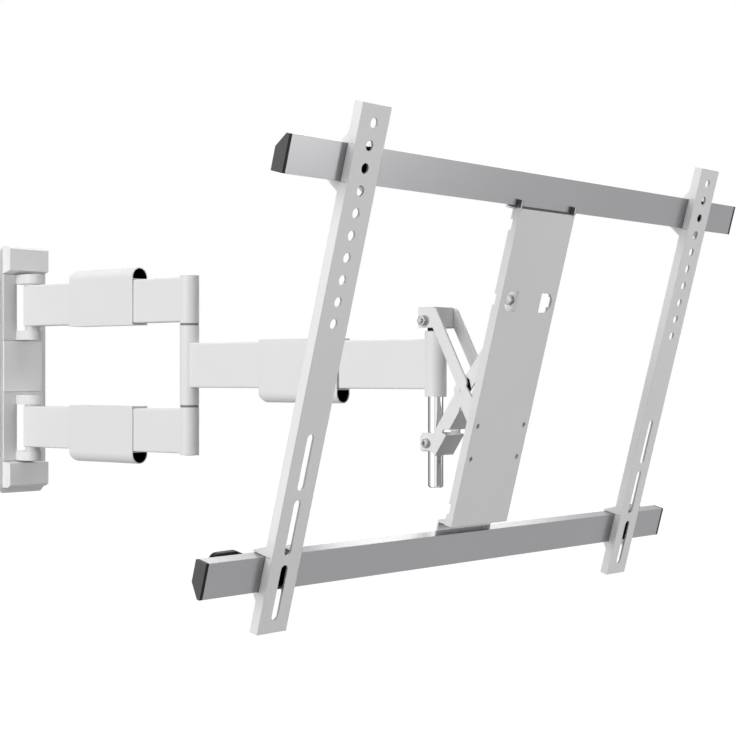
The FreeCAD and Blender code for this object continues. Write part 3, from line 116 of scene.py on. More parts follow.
# Each soft panel has a place, the length of its side in metres and its power in watts
MOUNT_MIDDLE = Vector((0.0, -0.55, 0.0))
SOFT_PANELS = (
    ("left_panel", (-4.75, -0.5, 1.5), 2.6, 110.0),
    ("wall_side_panel", (-3.9, 0.3, 0.0), 2.8, 68.0),
    ("front_panel", (0.1, -5.5, 0.3), 1.8, 99.0),
    ("front_right_panel", (2.35, -3.85, -0.35), 0.8, 13.5),
    ("back_right_panel", (2.9, 1.6, 1.8), 1.7, 16.0),
    ("top_panel", (0.2, -0.5, 3.0), 3.0, 64.0),
)
for name, place, side_length, power in SOFT_PANELS:
    light = bpy.data.lights.new(name, "AREA")
    light.shape = "SQUARE"
    light.size = side_length
    light.energy = power
    lamp = bpy.data.objects.new(name, light)
    lamp.location = place
    lamp.rotation_euler = (MOUNT_MIDDLE - Vector(place)).to_track_quat("-Z", "Y").to_euler()
    lamp.visible_camera = False
    scene.collection.objects.link(lamp)

# Wall plate
# A folded steel sheet with two raised channels and four welded lugs. Like the arms, links and
# rails it is powder coated in a white that is faintly pebbled, uneven in tone and soft on edges.

COAT_SOCKETS = {
    "INPUT": (("Tint", "Color"), ("Pebble Scale", "Float"), ("Pebble Depth", "Float"),
              ("Sheen Low", "Float"), ("Sheen High", "Float"), ("Edge Radius", "Float")),
    "OUTPUT": (("Color", "Color"), ("Roughness", "Float"), ("Normal", "Vector")),
}
CLOUD_SCALE, CLOUD_DARKEST = 7.0, 0.965
PATCH_SCALE = 60.0
NOISE_MIDDLE = (0.3, 0.7)
PEBBLE_HEIGHT = 0.0001
EDGE_SAMPLES = 6


def make_coat_group():
    group = bpy.data.node_groups.new("pebbled_coat", "ShaderNodeTree")
    for way, sockets in COAT_SOCKETS.items():
        for socket, kind in sockets:
            group.interface.new_socket(socket, in_out=way, socket_type=f"NodeSocket{kind}")
    nodes, links = group.nodes, group.links
    entry = nodes.new("NodeGroupInput")
    result = nodes.new("NodeGroupOutput")
    place = nodes.new("ShaderNodeTexCoord")

    def noise(detail):
        texture = nodes.new("ShaderNodeTexNoise")
        texture.inputs["Detail"].default_value = detail
        links.new(place.outputs["Object"], texture.inputs["Vector"])
        return texture

    def spread(texture):
        # Stretches the noise's middle range, whose new ends the caller gives
        stretch = nodes.new("ShaderNodeMapRange")
        stretch.inputs["From Min"].default_value = NOISE_MIDDLE[0]
        stretch.inputs["From Max"].default_value = NOISE_MIDDLE[1]
        links.new(texture.outputs["Fac"], stretch.inputs["Value"])
        return stretch

    cloud = noise(3.0)
    cloud.inputs["Scale"].default_value = CLOUD_SCALE
    uneven = spread(cloud)
    uneven.inputs["To Min"].default_value = CLOUD_DARKEST
    uneven.inputs["To Max"].default_value = 1.0
    shade = nodes.new("ShaderNodeVectorMath")
    shade.operation = "SCALE"
    links.new(entry.outputs["Tint"], shade.inputs[0])
    links.new(uneven.outputs["Result"], shade.inputs["Scale"])
    links.new(shade.outputs["Vector"], result.inputs["Color"])

    patch = noise(4.0)
    patch.inputs["Scale"].default_value = PATCH_SCALE
    gloss = spread(patch)
    links.new(entry.outputs["Sheen Low"], gloss.inputs["To Min"])
    links.new(entry.outputs["Sheen High"], gloss.inputs["To Max"])
    links.new(gloss.outputs["Result"], result.inputs["Roughness"])

    pebble = noise(2.0)
    links.new(entry.outputs["Pebble Scale"], pebble.inputs["Scale"])
    edge = nodes.new("ShaderNodeBevel")
    edge.samples = EDGE_SAMPLES
    links.new(entry.outputs["Edge Radius"], edge.inputs["Radius"])
    bump = nodes.new("ShaderNodeBump")
    bump.inputs["Distance"].default_value = PEBBLE_HEIGHT
    links.new(pebble.outputs["Fac"], bump.inputs["Height"])
    links.new(entry.outputs["Pebble Depth"], bump.inputs["Strength"])
    links.new(edge.outputs["Normal"], bump.inputs["Normal"])
    links.new(bump.outputs["Normal"], result.inputs["Normal"])
    return group


coat_group = make_coat_group()


def coated(name, tint, pebbles, sheen, edge, metallic=0.0, shine=0.5):
    # Pebbles are a scale and a depth, sheen the lowest and highest roughness, edge a radius
    paint = bpy.data.materials.new(name)
    paint.use_nodes = True
    nodes, links = paint.node_tree.nodes, paint.node_tree.links
    shader = nodes["Principled BSDF"]
    shader.inputs["Metallic"].default_value = metallic
    shader.inputs["Specular IOR Level"].default_value = shine
    finish = nodes.new("ShaderNodeGroup")
    finish.name = "finish"
    finish.node_tree = coat_group
    finish.inputs["Tint"].default_value = (*tint, 1.0)
    finish.inputs["Pebble Scale"].default_value = pebbles[0]
    finish.inputs["Pebble Depth"].default_value = pebbles[1]
    finish.inputs["Sheen Low"].default_value = sheen[0]
    finish.inputs["Sheen High"].default_value = sheen[1]
    finish.inputs["Edge Radius"].default_value = edge
    links.new(finish.outputs["Color"], shader.inputs["Base Color"])
    links.new(finish.outputs["Roughness"], shader.inputs["Roughness"])
    links.new(finish.outputs["Normal"], shader.inputs["Normal"])
    return paint


def dress(material, *names):
    for name in names:
        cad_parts[name].material_slots[0].material = material


coat_white = coated("coat_white", (0.80, 0.80, 0.80), pebbles=(1400.0, 0.35),
                    sheen=(0.42, 0.52), edge=0.0009, shine=0.25)
dress(coat_white, "wall_plate")

# Wall covers
# The two end covers hide the wall bolts and the middle cover fills the gap between the channels.
# They are moulded in white plastic, smoother than the coat, and clip on to the plate.

cover_white = coated("cover_white", (0.88, 0.88, 0.88), pebbles=(500.0, 0.08),
                     sheen=(0.32, 0.38), edge=0.0009)
dress(cover_white, "centre_cover", "top_cap", "bottom_cap")

# Wall pivots
# A zinc-plated pin passes through each pair of lugs, and pale nylon rings space the arms from
# the lugs.

zinc = coated("zinc", (0.36, 0.36, 0.37), pebbles=(1800.0, 0.2), sheen=(0.42, 0.52),
              edge=0.0004, metallic=0.7)
nylon_light = coated("nylon_light", (0.66, 0.66, 0.66), pebbles=(900.0, 0.15),
                     sheen=(0.40, 0.50), edge=0.0003)
dress(zinc, "wall_pins")
dress(nylon_light, "arm_spacers")

# First arms
# Each arm is a rectangular steel tube, welded to a bush at the wall and to a barrel at the elbow,
# and powder coated.

arm_white = coated("arm_white", (0.82, 0.82, 0.82), pebbles=(1400.0, 0.35),
                   sheen=(0.40, 0.48), edge=0.0008, shine=0.25)
dress(arm_white, "upper_arm", "lower_arm")

# Cable sleeves of the first arms
# A white plastic sleeve slides over each arm, with a domed duct for the cables beside it. A thin
# black sheet inside the duct is painted shade for its unlit inside.

FIRST_SLEEVE_ENDS = (-0.1201, -0.2349)
FIRST_DUCT_FLOOR = 0.10855
FIRST_DUCT_HALF = 0.0114
FIRST_DUCT_STRAIGHT = 0.0015
SHADE_SHEET_WALL = 0.0005
DOME_STEPS = 20
MERGE_GAP = 1e-6
SHARP_ANGLE = 32.0
sleeve_white = coated("sleeve_white", (0.80, 0.80, 0.80), pebbles=(600.0, 0.08),
                      sheen=(0.34, 0.40), edge=0.0008)
painted_shade_black = coated("painted_shade_black", (0.004, 0.004, 0.004), pebbles=(900.0, 0.5),
                      sheen=(0.85, 0.95), edge=0.0003, shine=0.05)
dress(sleeve_white, "upper_sleeve", "lower_sleeve")


def finished(name, shape, material, body, place=None):
    # Makes the shape a piece in its place, which moves with a body and takes a listed finish
    bmesh.ops.remove_doubles(shape, verts=shape.verts, dist=MERGE_GAP)
    bmesh.ops.recalc_face_normals(shape, faces=shape.faces)
    if place is not None:
        bmesh.ops.transform(shape, matrix=place, verts=shape.verts)
    mesh = bpy.data.meshes.new(name)
    shape.to_mesh(mesh)
    shape.free()
    mesh.shade_smooth()
    mesh.set_sharp_from_angle(angle=math.radians(SHARP_ANGLE))
    mesh.materials.append(material)
    piece = bpy.data.objects.new(name, mesh)
    scene.collection.objects.link(piece)
    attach(piece, body)
    return piece


def verts_of(made):
    return [part for part in made if isinstance(part, bmesh.types.BMVert)]


def edges_of(made):
    return [part for part in made if isinstance(part, bmesh.types.BMEdge)]


def painted_duct_shade(name, body, ends, floor_level, away, half, straight):
    # The sheet is black, painted shade for the duct's unlit inside
    # One long edge is drawn up the side, turned over the dome, drawn down again and closed
    # across the floor
    shape = bmesh.new()
    corners = [shape.verts.new((half, along, floor_level)) for along in ends]
    near_foot = shape.edges.new(corners)
    raised = bmesh.ops.extrude_edge_only(shape, edges=[near_foot])["geom"]
    tops = verts_of(raised)
    bmesh.ops.translate(shape, verts=tops, vec=(0.0, 0.0, away * straight))
    near_rim = [edge for edge in edges_of(raised) if all(vert in tops for vert in edge.verts)]
    dome_middle = (0.0, 0.0, floor_level + away * straight)
    dome = bmesh.ops.spin(shape, geom=tops + near_rim, cent=dome_middle, axis=(0.0, 1.0, 0.0),
                          angle=-away * math.pi, steps=DOME_STEPS, use_merge=False)["geom_last"]
    lowered = bmesh.ops.extrude_edge_only(shape, edges=edges_of(dome))["geom"]
    feet = verts_of(lowered)
    bmesh.ops.translate(shape, verts=feet, vec=(0.0, 0.0, -away * straight))
    far_foot = [edge for edge in edges_of(lowered) if all(vert in feet for vert in edge.verts)]
    bmesh.ops.bridge_loops(shape, edges=[near_foot] + far_foot)
    bmesh.ops.recalc_face_normals(shape, faces=shape.faces)
    bmesh.ops.solidify(shape, geom=shape.faces[:], thickness=SHADE_SHEET_WALL)
    finished(name, shape, painted_shade_black, body)


# Black sheets inside the first arms' ducts, painted shade for their unlit insides
painted_duct_shade("upper_duct_painted_shade", "first_arms", FIRST_SLEEVE_ENDS, FIRST_DUCT_FLOOR, 1,
           FIRST_DUCT_HALF, FIRST_DUCT_STRAIGHT)
painted_duct_shade("lower_duct_painted_shade", "first_arms", FIRST_SLEEVE_ENDS, -FIRST_DUCT_FLOOR, -1,
           FIRST_DUCT_HALF, FIRST_DUCT_STRAIGHT)

# Elbow
# A long pin joins the outer barrels and the middle barrel, with nylon washers between them, drawn
# darker than their own light grey as painted shade for the seams between the barrels.
# A domed plastic lid with a shallow dimple closes each outer barrel.

ELBOW_Y = -0.3237
BARREL_TOP = 0.109
# A turned profile is a line of points, each a place along the axis and a distance away from it
LID_PROFILE = ((-0.0021, 0.0), (-0.0021, 0.0094), (-0.0002, 0.0094), (0.0002, 0.0090),
               (0.0006, 0.0060), (0.0007, 0.0032), (0.0003, 0.0026), (0.0002, 0.0))
# The washers' dark grey is painted shade for the seams between the barrels
painted_seam_shade_grey = coated("painted_seam_shade_grey", (0.22, 0.22, 0.22), pebbles=(900.0, 0.15),
                     sheen=(0.45, 0.55), edge=0.0003, shine=0.2)
dress(zinc, "elbow_pin")
dress(painted_seam_shade_grey, "elbow_washers")


def turned(shape, profile, steps):
    # Spins the profile about the x axis
    line = [shape.verts.new((along, 0.0, away)) for along, away in profile]
    edges = [shape.edges.new(pair) for pair in zip(line, line[1:])]
    bmesh.ops.spin(shape, geom=line + edges, cent=(0.0, 0.0, 0.0), axis=(1.0, 0.0, 0.0),
                   angle=2.0 * math.pi, steps=steps, use_merge=True)


def tip(shape, verts, degrees, axis):
    bmesh.ops.rotate(shape, verts=verts, cent=(0.0, 0.0, 0.0),
                     matrix=Matrix.Rotation(math.radians(degrees), 3, axis))


lids = bmesh.new()
turned(lids, LID_PROFILE, steps=48)
tip(lids, lids.verts, -90.0, "Y")
bmesh.ops.translate(lids, verts=lids.verts, vec=(0.0, ELBOW_Y, BARREL_TOP))
bmesh.ops.mirror(lids, geom=lids.verts[:] + lids.edges[:] + lids.faces[:], axis="Z",
                 merge_dist=0.0)
barrel_lids = finished("barrel_lids", lids, sleeve_white, "first_arms")
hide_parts("barrel_caps")

# Second arm
# One tube of the same steel runs from the elbow's middle barrel to the head barrel. The duct of
# its sleeve lies underneath.

SECOND_SLEEVE_ENDS = (-0.4550, -0.5694)
SECOND_DUCT_FLOOR = -0.02855
SECOND_DUCT_HALF = 0.00975
SECOND_DUCT_STRAIGHT = 0.0041
dress(arm_white, "second_arm")
dress(sleeve_white, "second_sleeve")
# A black sheet inside this duct too, painted shade for its unlit inside
painted_duct_shade("second_duct_painted_shade", "second_arm", SECOND_SLEEVE_ENDS, SECOND_DUCT_FLOOR, -1,
           SECOND_DUCT_HALF, SECOND_DUCT_STRAIGHT)

# Chrome post
# The post that turns in the head barrel is ground steel with bright chrome, chamfered at its ends,
# and its colour darkens towards its edges as painted reflection. Plastic bushings guide it, drawn
# black, and the upper one's black collar below the block is painted shade for the dark gap there.

HEAD_Y = -0.7001
HEAD = Matrix.Translation((0.0, HEAD_Y, 0.0))
BUSHING_BORE, BUSHING_RADIUS = 0.00825, 0.00995
BUSHING_SHOULDER, LIP_FOOT = 0.0349, 0.0351
# Inner end, outer end and the lip's radius of the lower and the upper bushing
BUSHINGS = ((-0.0220, -0.0350, 0.0099), (0.0220, 0.0386, 0.0088))
POST_PROFILE = ((-0.132, 0.0), (-0.132, 0.0067), (-0.1305, 0.0082), (0.0597, 0.0082),
                (0.0603, 0.0076), (0.0603, 0.0))
nylon_black = coated("nylon_black", (0.004, 0.004, 0.0042), pebbles=(900.0, 0.3),
                     sheen=(0.30, 0.42), edge=0.0006, shine=0.12)
chrome = coated("chrome", (0.80, 0.80, 0.81), pebbles=(260.0, 0.01), sheen=(0.05, 0.09),
                edge=0.0003, metallic=1.0)
# Painted reflection: the chrome's colour and its edge tint darken as its surface turns away,
# standing in for dark surroundings reflected there
PAINTED_REFLECTION_RANGE = (0.12, 0.55)
CHROME_PAINTED_REFLECTION = (0.82, 0.25)
chrome_nodes, chrome_links = chrome.node_tree.nodes, chrome.node_tree.links
chrome_shader = chrome_nodes["Principled BSDF"]
chrome_shader.inputs["Specular Tint"].default_value = (0.30, 0.30, 0.30, 1.0)
slant = chrome_nodes.new("ShaderNodeLayerWeight")
slant.inputs["Blend"].default_value = 0.5
painted_reflection_fade = chrome_nodes.new("ShaderNodeMapRange")
painted_reflection_fade.inputs["From Min"].default_value = PAINTED_REFLECTION_RANGE[0]
painted_reflection_fade.inputs["From Max"].default_value = PAINTED_REFLECTION_RANGE[1]
painted_reflection_fade.inputs["To Min"].default_value = CHROME_PAINTED_REFLECTION[0]
painted_reflection_fade.inputs["To Max"].default_value = CHROME_PAINTED_REFLECTION[1]
chrome_links.new(slant.outputs["Facing"], painted_reflection_fade.inputs["Value"])
chrome_links.new(painted_reflection_fade.outputs["Result"], chrome_shader.inputs["Base Color"])

# The bushings are drawn black; the upper collar's black is painted shade for the gap below the
# block
bushes = bmesh.new()
for inner_end, outer_end, lip in BUSHINGS:
    up = math.copysign(1.0, outer_end)
    bushing = ((inner_end, BUSHING_BORE), (inner_end, BUSHING_RADIUS),
               (up * BUSHING_SHOULDER, BUSHING_RADIUS), (up * LIP_FOOT, lip), (outer_end, lip),
               (outer_end, BUSHING_BORE), (inner_end, BUSHING_BORE))
    turned(bushes, bushing, steps=64)
tip(bushes, bushes.verts, -90.0, "Y")
guide_bushings = finished("guide_bushings", bushes, nylon_black, "second_arm",
                          HEAD)
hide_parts("post_bushings")

rod = bmesh.new()
turned(rod, POST_PROFILE, steps=96)
tip(rod, rod.verts, -90.0, "Y")
post_rod = finished("post_rod", rod, chrome, "tilt_head", HEAD)
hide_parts("tilt_post")

# Post block and pivot bolt
# The coated block on the post carries the upper link. A plated bolt with a socket head passes
# through both, with washers and, on the left, a nut that the thread stands out of.

PIVOT = HEAD @ Matrix.Translation((0.0, 0.0, 0.046))
# Share of the head's height and of its radius, from the seat to the crown
HEAD_ROUNDS = ((0.0, 1.0), (0.25, 1.0), (0.62, 0.93), (0.88, 0.76), (1.0, 0.58))
SOCKET_SHARE, SOCKET_DEPTH = 0.48, 0.55
BOLT_HEAD_RADIUS, BOLT_HEAD_HEIGHT = 0.0052, 0.0046
BOLT_END, BOLT_SEAT = -0.0290, 0.0216
THREAD_START, THREAD_END = -0.0288, -0.0255
THREAD_TURNS, THREAD_PITCH = 6, 0.0005
THREAD_POINT, THREAD_ROOT, THREAD_CREST = 0.0024, 0.0026, 0.0030
NUT_MIDDLE, NUT_RADIUS, NUT_THICK, NUT_CHAMFER = -0.0239, 0.0056, 0.0046, 0.0005
NUT_FACE = ((-0.02625, 0.0), (-0.02625, 0.0043), (-0.0261, 0.0045), (-0.0261, 0.0))
WASHER_PROFILE = ((0.02005, 0.0031), (0.02005, 0.0058), (0.0202, 0.0060), (0.0214, 0.0060),
                  (0.0216, 0.0057), (0.0216, 0.0031), (0.02005, 0.0031))
dress(coat_white, "post_block")


def ring_edges(ring):
    # The closed line of edges that joins the ring's points
    around = [edge for vert in ring for edge in vert.link_edges
              if all(end in ring for end in edge.verts)]
    return list(dict.fromkeys(around))


def socket_head(shape, seat, radius, height, sign):
    # A domed round head, bridged at the crown to a six-sided socket, standing off along x
    rings = []
    for rise, share in HEAD_ROUNDS:
        ring = bmesh.ops.create_circle(shape, segments=24, radius=radius * share)["verts"]
        rings.append((ring, rise))
    for depth in (0.0, SOCKET_DEPTH):
        ring = bmesh.ops.create_circle(shape, segments=24, radius=radius * SOCKET_SHARE)["verts"]
        for vert in ring:
            around_six = math.atan2(vert.co.y, vert.co.x) % (math.pi / 3.0) - math.pi / 6.0
            vert.co *= math.cos(math.pi / 6.0) / math.cos(around_six)
        rings.append((ring, 1.0 - depth))
    for ring, rise in rings:
        tip(shape, ring, 90.0, "Y")
        bmesh.ops.translate(shape, verts=ring, vec=(seat + sign * rise * height, 0.0, 0.0))
    for (low, _), (high, _) in zip(rings, rings[1:]):
        bmesh.ops.bridge_loops(shape, edges=ring_edges(low) + ring_edges(high))
    for ring, _ in (rings[0], rings[-1]):
        bmesh.ops.edgeloop_fill(shape, edges=ring_edges(ring))


def hex_prism(shape, middle, radius, thick, chamfer):
    made = bmesh.ops.create_cone(shape, cap_ends=True, segments=6, radius1=radius,
                                 radius2=radius, depth=thick)["verts"]
    tip(shape, made, 90.0, "Y")
    bmesh.ops.translate(shape, verts=made, vec=(middle, 0.0, 0.0))
    rims = {edge for vert in made for edge in vert.link_edges
            if abs(edge.verts[0].co.x - edge.verts[1].co.x) < MERGE_GAP}
    bmesh.ops.bevel(shape, geom=list(rims), offset=chamfer, segments=2, profile=0.5,
                    affect="EDGES", material=-1)


bolt_shape = bmesh.new()
thread = [(BOLT_END, 0.0), (BOLT_END, THREAD_POINT)]
for thread_turn in range(THREAD_TURNS):
    root = THREAD_START + thread_turn * THREAD_PITCH
    thread += [(root, THREAD_ROOT), (root + THREAD_PITCH / 2.0, THREAD_CREST)]
thread += [(THREAD_END, THREAD_CREST), (BOLT_SEAT, THREAD_CREST), (BOLT_SEAT, 0.0)]
turned(bolt_shape, thread, steps=32)
socket_head(bolt_shape, BOLT_SEAT, BOLT_HEAD_RADIUS, BOLT_HEAD_HEIGHT, 1)
pivot_bolt = finished("pivot_bolt", bolt_shape, zinc, "tilt_head", PIVOT)
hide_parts("upper_link_bolt")

nut_shape = bmesh.new()
hex_prism(nut_shape, NUT_MIDDLE, NUT_RADIUS, NUT_THICK, NUT_CHAMFER)
turned(nut_shape, NUT_FACE, steps=32)
pivot_nut = finished("pivot_nut", nut_shape, zinc, "tilt_head", PIVOT)
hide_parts("upper_link_nut")

washer_shape = bmesh.new()
for side in (-1.0, 1.0):
    turned(washer_shape, [(side * along, away) for along, away in WASHER_PROFILE], steps=40)
pivot_washers = finished("pivot_washers", washer_shape, zinc, "tilt_head", PIVOT)
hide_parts("upper_link_washers")

# Upper tilt link
# Two cranked side sheets of coated steel, with a plated pin through their feet. Peened rivets join
# them to the lower link at the crossing, where a black pad between the sheets is painted shade for
# the deep shadow there.

PAD_SIZE = (0.0013, 0.0095, 0.0150)
PAD_CORNER = 0.0035
PAD_TILT = -14.0
PAD_PLACE = (-0.01675, HEAD_Y - 0.0530, -0.0225)
dress(coat_white, "upper_tilt_link", "crossing_rivets")
dress(zinc, "lower_front_pin")
# A black pad between the sheets, painted shade for the deep shadow at the crossing
pad_shape = bmesh.new()
bmesh.ops.create_cube(pad_shape, size=1.0)
bmesh.ops.scale(pad_shape, verts=pad_shape.verts, vec=PAD_SIZE)
pad_corners = [edge for edge in pad_shape.edges
               if abs(edge.verts[0].co.x - edge.verts[1].co.x) > MERGE_GAP]
bmesh.ops.bevel(pad_shape, geom=pad_corners, offset=PAD_CORNER, segments=5, profile=0.5,
                affect="EDGES", material=-1)
tip(pad_shape, pad_shape.verts, PAD_TILT, "X")
bmesh.ops.translate(pad_shape, verts=pad_shape.verts, vec=PAD_PLACE)
finished("crossing_painted_shade_pad", pad_shape, painted_shade_black, "upper_link")

# Lower tilt link
# A narrower pair of coated side sheets with a folded web, on a block that slides on the post. A
# shoulder screw with a socket head holds the block on each side.

SLIDER = HEAD @ Matrix.Translation((0.0, 0.0, -0.0843))
SCREW_SEAT = 0.0160
SCREW_PROFILE = ((0.0098, 0.0), (0.0098, 0.0027), (0.0101, 0.0030), (SCREW_SEAT, 0.0030),
                 (SCREW_SEAT, 0.0))
dress(coat_white, "lower_tilt_link", "slide_block")
screw_shape = bmesh.new()
for side in (-1.0, 1.0):
    turned(screw_shape, [(side * along, away) for along, away in SCREW_PROFILE], steps=32)
    socket_head(screw_shape, side * SCREW_SEAT, BOLT_HEAD_RADIUS, BOLT_HEAD_HEIGHT, side)
slider_screws = finished("slider_screws", screw_shape, zinc, "slide_block", SLIDER)
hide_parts("lower_link_bolts")

# Tilt plate and pivot bracket
# The tilt plate is a folded sheet with ears bent back out of it, and the slotted bracket is
# screwed on behind it. The lower link hangs on a hexagon bolt through the ears.

# The screen frame leans forward about a level line
PANEL = Matrix.Translation((0.0, -0.80707, 0.0)) @ Matrix.Rotation(math.radians(15.0), 4, "X")
EARS = PANEL @ Matrix.Translation((0.0, 0.013, 0.0637))
EAR_BOLT_PROFILE = ((-0.0210, 0.0), (-0.0210, 0.0030), (0.0206, 0.0030), (0.0210, 0.0026),
                    (0.0210, 0.0))
EAR_HEAD_MIDDLE, EAR_HEAD_RADIUS, EAR_HEAD_THICK, EAR_HEAD_CHAMFER = -0.0233, 0.0056, 0.0046, 0.0006
EAR_NUT_MIDDLE, EAR_NUT_RADIUS, EAR_NUT_THICK, EAR_NUT_CHAMFER = 0.01765, 0.0055, 0.0026, 0.0003
SHEET_REAR = 0.008
SCREW_RADIUS, POINT_SHARE, TAPER_START = 0.00255, 0.8, 0.9
SCREW_HEAD_RADIUS, SCREW_HEAD_HEIGHT = 0.0044, 0.0012
BRACKET_SCREW_LENGTH = 0.0024
BRACKET_SCREW_ACROSS, BRACKET_SCREW_MIDDLE, BRACKET_SCREW_SPREAD = 0.041, -0.0851, 0.0175
dress(coat_white, "tilt_plate", "pivot_bracket")
dress(zinc, "ear_spacers")
ear_shape = bmesh.new()
turned(ear_shape, EAR_BOLT_PROFILE, steps=32)
hex_prism(ear_shape, EAR_HEAD_MIDDLE, EAR_HEAD_RADIUS, EAR_HEAD_THICK, EAR_HEAD_CHAMFER)
ear_hex_bolt = finished("ear_hex_bolt", ear_shape, zinc, "screen_panel", EARS)
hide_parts("ear_bolt")

ear_nut_shape = bmesh.new()
hex_prism(ear_nut_shape, EAR_NUT_MIDDLE, EAR_NUT_RADIUS, EAR_NUT_THICK, EAR_NUT_CHAMFER)
ear_thin_nut = finished("ear_thin_nut", ear_nut_shape, zinc, "screen_panel", EARS)
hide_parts("ear_nut")


def sheet_screws(name, spots, length):
    # A spot is the place across, the sheet's rear face and the level in the leaning frame, and
    # each screw points forwards from there
    shape = bmesh.new()
    for spot in spots:
        one = bmesh.new()
        shaft = ((-length, 0.0), (-length, SCREW_RADIUS * POINT_SHARE),
                 (-length * TAPER_START, SCREW_RADIUS), (0.0, SCREW_RADIUS), (0.0, 0.0))
        turned(one, shaft, steps=24)
        socket_head(one, 0.0, SCREW_HEAD_RADIUS, SCREW_HEAD_HEIGHT, 1)
        tip(one, one.verts, 90.0, "Z")
        bmesh.ops.translate(one, verts=one.verts, vec=spot)
        joined = bpy.data.meshes.new("one_screw")
        one.to_mesh(joined)
        one.free()
        shape.from_mesh(joined)
        bpy.data.meshes.remove(joined)
    return finished(name, shape, zinc, "screen_panel", PANEL)


bracket_spots = [(side * BRACKET_SCREW_ACROSS, SHEET_REAR,
                  BRACKET_SCREW_MIDDLE + up * BRACKET_SCREW_SPREAD)
                 for side in (-1, 1) for up in (-1, 1)]
bracket_fixings = sheet_screws("bracket_fixings", bracket_spots, BRACKET_SCREW_LENGTH)
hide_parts("bracket_screws")

# Bar holders
# A folded steel angle behind each end of the tilt plate reaches round the cross bar and is
# screwed to both. A grey pad lies between it and the upper bar, and pads line the front tabs.

BAR_REAR = 0.0238
HOLDER_SCREW_LENGTH, HOLDER_SCREW_ACROSS = 0.0029, 0.030
HOLDER_SCREW_PLACES = ((SHEET_REAR, 0.131), (SHEET_REAR, -0.1493), (BAR_REAR, 0.16885),
                       (BAR_REAR, -0.19355))
pad_grey = coated("pad_grey", (0.10, 0.10, 0.10), pebbles=(900.0, 0.3), sheen=(0.5, 0.6),
                  edge=0.0003, shine=0.2)
dress(coat_white, "top_holder", "bottom_holder")
dress(pad_grey, "clip_pads")
holder_spots = [(side * HOLDER_SCREW_ACROSS, rear, level)
                for side in (-1, 1) for rear, level in HOLDER_SCREW_PLACES]
holder_fixings = sheet_screws("holder_fixings", holder_spots, HOLDER_SCREW_LENGTH)
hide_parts("holder_screws")

# Cross bars
# Both bars are extruded aluminium with a bevelled rear edge, satin anodised in grey, with faint
# die lines along them.

LINE_STRETCH = (1.0, 400.0, 400.0)
LINE_HEIGHT, LINE_STRENGTH = 0.00005, 0.04
bar_grey = coated("bar_grey", (0.290, 0.291, 0.300), pebbles=(900.0, 0.0),
                  sheen=(0.275, 0.285), edge=0.0006, metallic=0.92)
bar_nodes, bar_links = bar_grey.node_tree.nodes, bar_grey.node_tree.links
bar_place = bar_nodes.new("ShaderNodeTexCoord")
line_stretch = bar_nodes.new("ShaderNodeMapping")
line_stretch.inputs["Scale"].default_value = LINE_STRETCH
die_lines = bar_nodes.new("ShaderNodeTexNoise")
die_lines.inputs["Scale"].default_value = 1.0
die_lines.inputs["Detail"].default_value = 3.0
line_bump = bar_nodes.new("ShaderNodeBump")
line_bump.inputs["Distance"].default_value = LINE_HEIGHT
line_bump.inputs["Strength"].default_value = LINE_STRENGTH
bar_links.new(bar_place.outputs["Object"], line_stretch.inputs["Vector"])
bar_links.new(line_stretch.outputs["Vector"], die_lines.inputs["Vector"])
bar_links.new(die_lines.outputs["Fac"], line_bump.inputs["Height"])
bar_links.new(bar_nodes["finish"].outputs["Normal"], line_bump.inputs["Normal"])
bar_links.new(line_bump.outputs["Normal"], bar_nodes["Principled BSDF"].inputs["Normal"])
dress(bar_grey, "top_bar", "bottom_bar")

# Bar end caps
# A black plastic plug closes each end of a bar. Its face is a slightly raised grey panel inside
# a black rim.

CAP_FACE_X = 0.394
PANEL_RISE, PANEL_RIM = 0.0003, 0.0011
# Depth and rise of each corner; the bevelled edge is the upper rear one of the upper bar
PANEL_CORNERS = ((0.0083, -0.01685), (0.0215, -0.01685), (0.0215, 0.00385), (0.0115, 0.01685),
                 (0.0083, 0.01685))
# Level of each bar and the way its bevelled edge points
BAR_FACES = {"top": (0.1767, 1.0), "bottom": (-0.2014, -1.0)}
panel_grey = coated("panel_grey", (0.062, 0.062, 0.064), pebbles=(900.0, 0.2),
                    sheen=(0.42, 0.52), edge=0.0003, shine=0.3)
dress(nylon_black, "top_bar_caps", "bottom_bar_caps")
for bar, (level, up) in BAR_FACES.items():
    panels = bmesh.new()
    for side in (-1.0, 1.0):
        corners = [panels.verts.new((side * CAP_FACE_X, depth, level + up * rise))
                   for depth, rise in PANEL_CORNERS]
        outer = panels.faces.new(corners)
        rim = bmesh.ops.inset_region(panels, faces=[outer], thickness=PANEL_RIM)["faces"]
        bmesh.ops.delete(panels, geom=rim, context="FACES")
        raised = bmesh.ops.extrude_face_region(panels, geom=[outer])["geom"]
        bmesh.ops.translate(panels, verts=verts_of(raised), vec=(side * PANEL_RISE, 0.0, 0.0))
    finished(f"{bar}_cap_panels", panels, panel_grey, "screen_panel", PANEL)

# Screen rails
# Each rail is a steel channel, punched with round holes and slots for the screen's screws. Its
# coated sides run on as thin cheeks over the glides where the rail passes a bar.

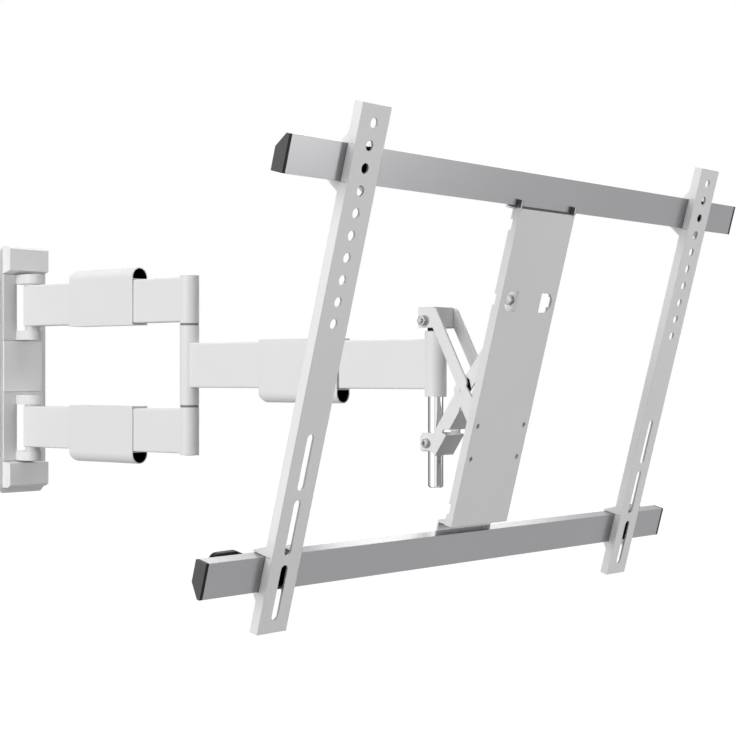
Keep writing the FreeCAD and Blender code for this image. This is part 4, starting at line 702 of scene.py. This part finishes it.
RAIL_X = 0.300
CHEEK_INNER, CHEEK_OUTER = 0.0191, 0.0195
CHEEK_DEPTHS = (0.0016, 0.0081)
CHEEK_LEVELS = ((0.1599, 0.1935), (-0.2186, -0.1846))
rail_white = coated("rail_white", (0.81, 0.81, 0.81), pebbles=(1400.0, 0.35),
                    sheen=(0.38, 0.46), edge=0.0008)
dress(rail_white, "left_rail", "right_rail")
for hand, side in (("left", -1.0), ("right", 1.0)):
    cheeks = bmesh.new()
    for low, high in CHEEK_LEVELS:
        for flank in (-1.0, 1.0):
            foot = [cheeks.verts.new((side * RAIL_X + flank * CHEEK_OUTER, depth, low))
                    for depth in CHEEK_DEPTHS]
            foot_edge = cheeks.edges.new(foot)
            raised = bmesh.ops.extrude_edge_only(cheeks, edges=[foot_edge])["geom"]
            bmesh.ops.translate(cheeks, verts=verts_of(raised), vec=(0.0, 0.0, high - low))
            outside = [part for part in raised if isinstance(part, bmesh.types.BMFace)]
            inside = bmesh.ops.extrude_face_region(cheeks, geom=outside, use_keep_orig=True)
            bmesh.ops.translate(cheeks, verts=verts_of(inside["geom"]),
                                vec=(flank * (CHEEK_INNER - CHEEK_OUTER), 0.0, 0.0))
    finished(f"{hand}_rail_cheeks", cheeks, rail_white, f"{hand}_rail", PANEL)

# Glides and catches
# The rails slide on black nylon glides, and a hooked retainer above and a lock block below keep
# them on the bars.

for hand in ("left", "right"):
    dress(nylon_black, f"{hand}_glides", f"{hand}_retainer", f"{hand}_lock_block")

# Locking levers
# A moulded black nylon lever on a plated pin clamps each rail from behind. Its outline wraps
# round the hub, a fuller grip and a rounded tip.

LEVER_BACK, LEVER_FRONT = 0.0243, 0.0313
# Place across, level and radius of the hub, the grip and the tip
LEVER_ROUNDS = ((0.300, -0.2050, 0.0070), (0.341, -0.1918, 0.0086), (0.362, -0.1910, 0.0075))
LEVER_EDGE = 0.0016
for hand, side in (("left", -1.0), ("right", 1.0)):
    lever_shape = bmesh.new()
    for across, level, radius in LEVER_ROUNDS:
        ring = bmesh.ops.create_circle(lever_shape, segments=40, radius=radius)["verts"]
        tip(lever_shape, ring, 90.0, "X")
        bmesh.ops.translate(lever_shape, verts=ring, vec=(side * across, LEVER_BACK, level))
    wrapped = bmesh.ops.convex_hull(lever_shape, input=lever_shape.verts[:])
    within = set(verts_of(wrapped["geom_interior"] + wrapped["geom_unused"]))
    bmesh.ops.delete(lever_shape, geom=list(within), context="VERTS")
    bmesh.ops.dissolve_limit(lever_shape, angle_limit=math.radians(1.0),
                             verts=lever_shape.verts, edges=lever_shape.edges)
    grown = bmesh.ops.extrude_face_region(lever_shape, geom=lever_shape.faces[:],
                                          use_keep_orig=True)["geom"]
    bmesh.ops.translate(lever_shape, verts=verts_of(grown),
                        vec=(0.0, LEVER_FRONT - LEVER_BACK, 0.0))
    rims = [edge for edge in lever_shape.edges
            if abs(edge.verts[0].co.y - edge.verts[1].co.y) < MERGE_GAP]
    bmesh.ops.recalc_face_normals(lever_shape, faces=lever_shape.faces)
    bmesh.ops.bevel(lever_shape, geom=rims, offset=LEVER_EDGE, segments=4, profile=0.5,
                    affect="EDGES", material=-1)
    lever = finished(f"{hand}_grip_lever", lever_shape, nylon_black, f"{hand}_lever",
                     PANEL)
    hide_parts(f"{hand}_lever")
    dress(zinc, f"{hand}_lever_pin")
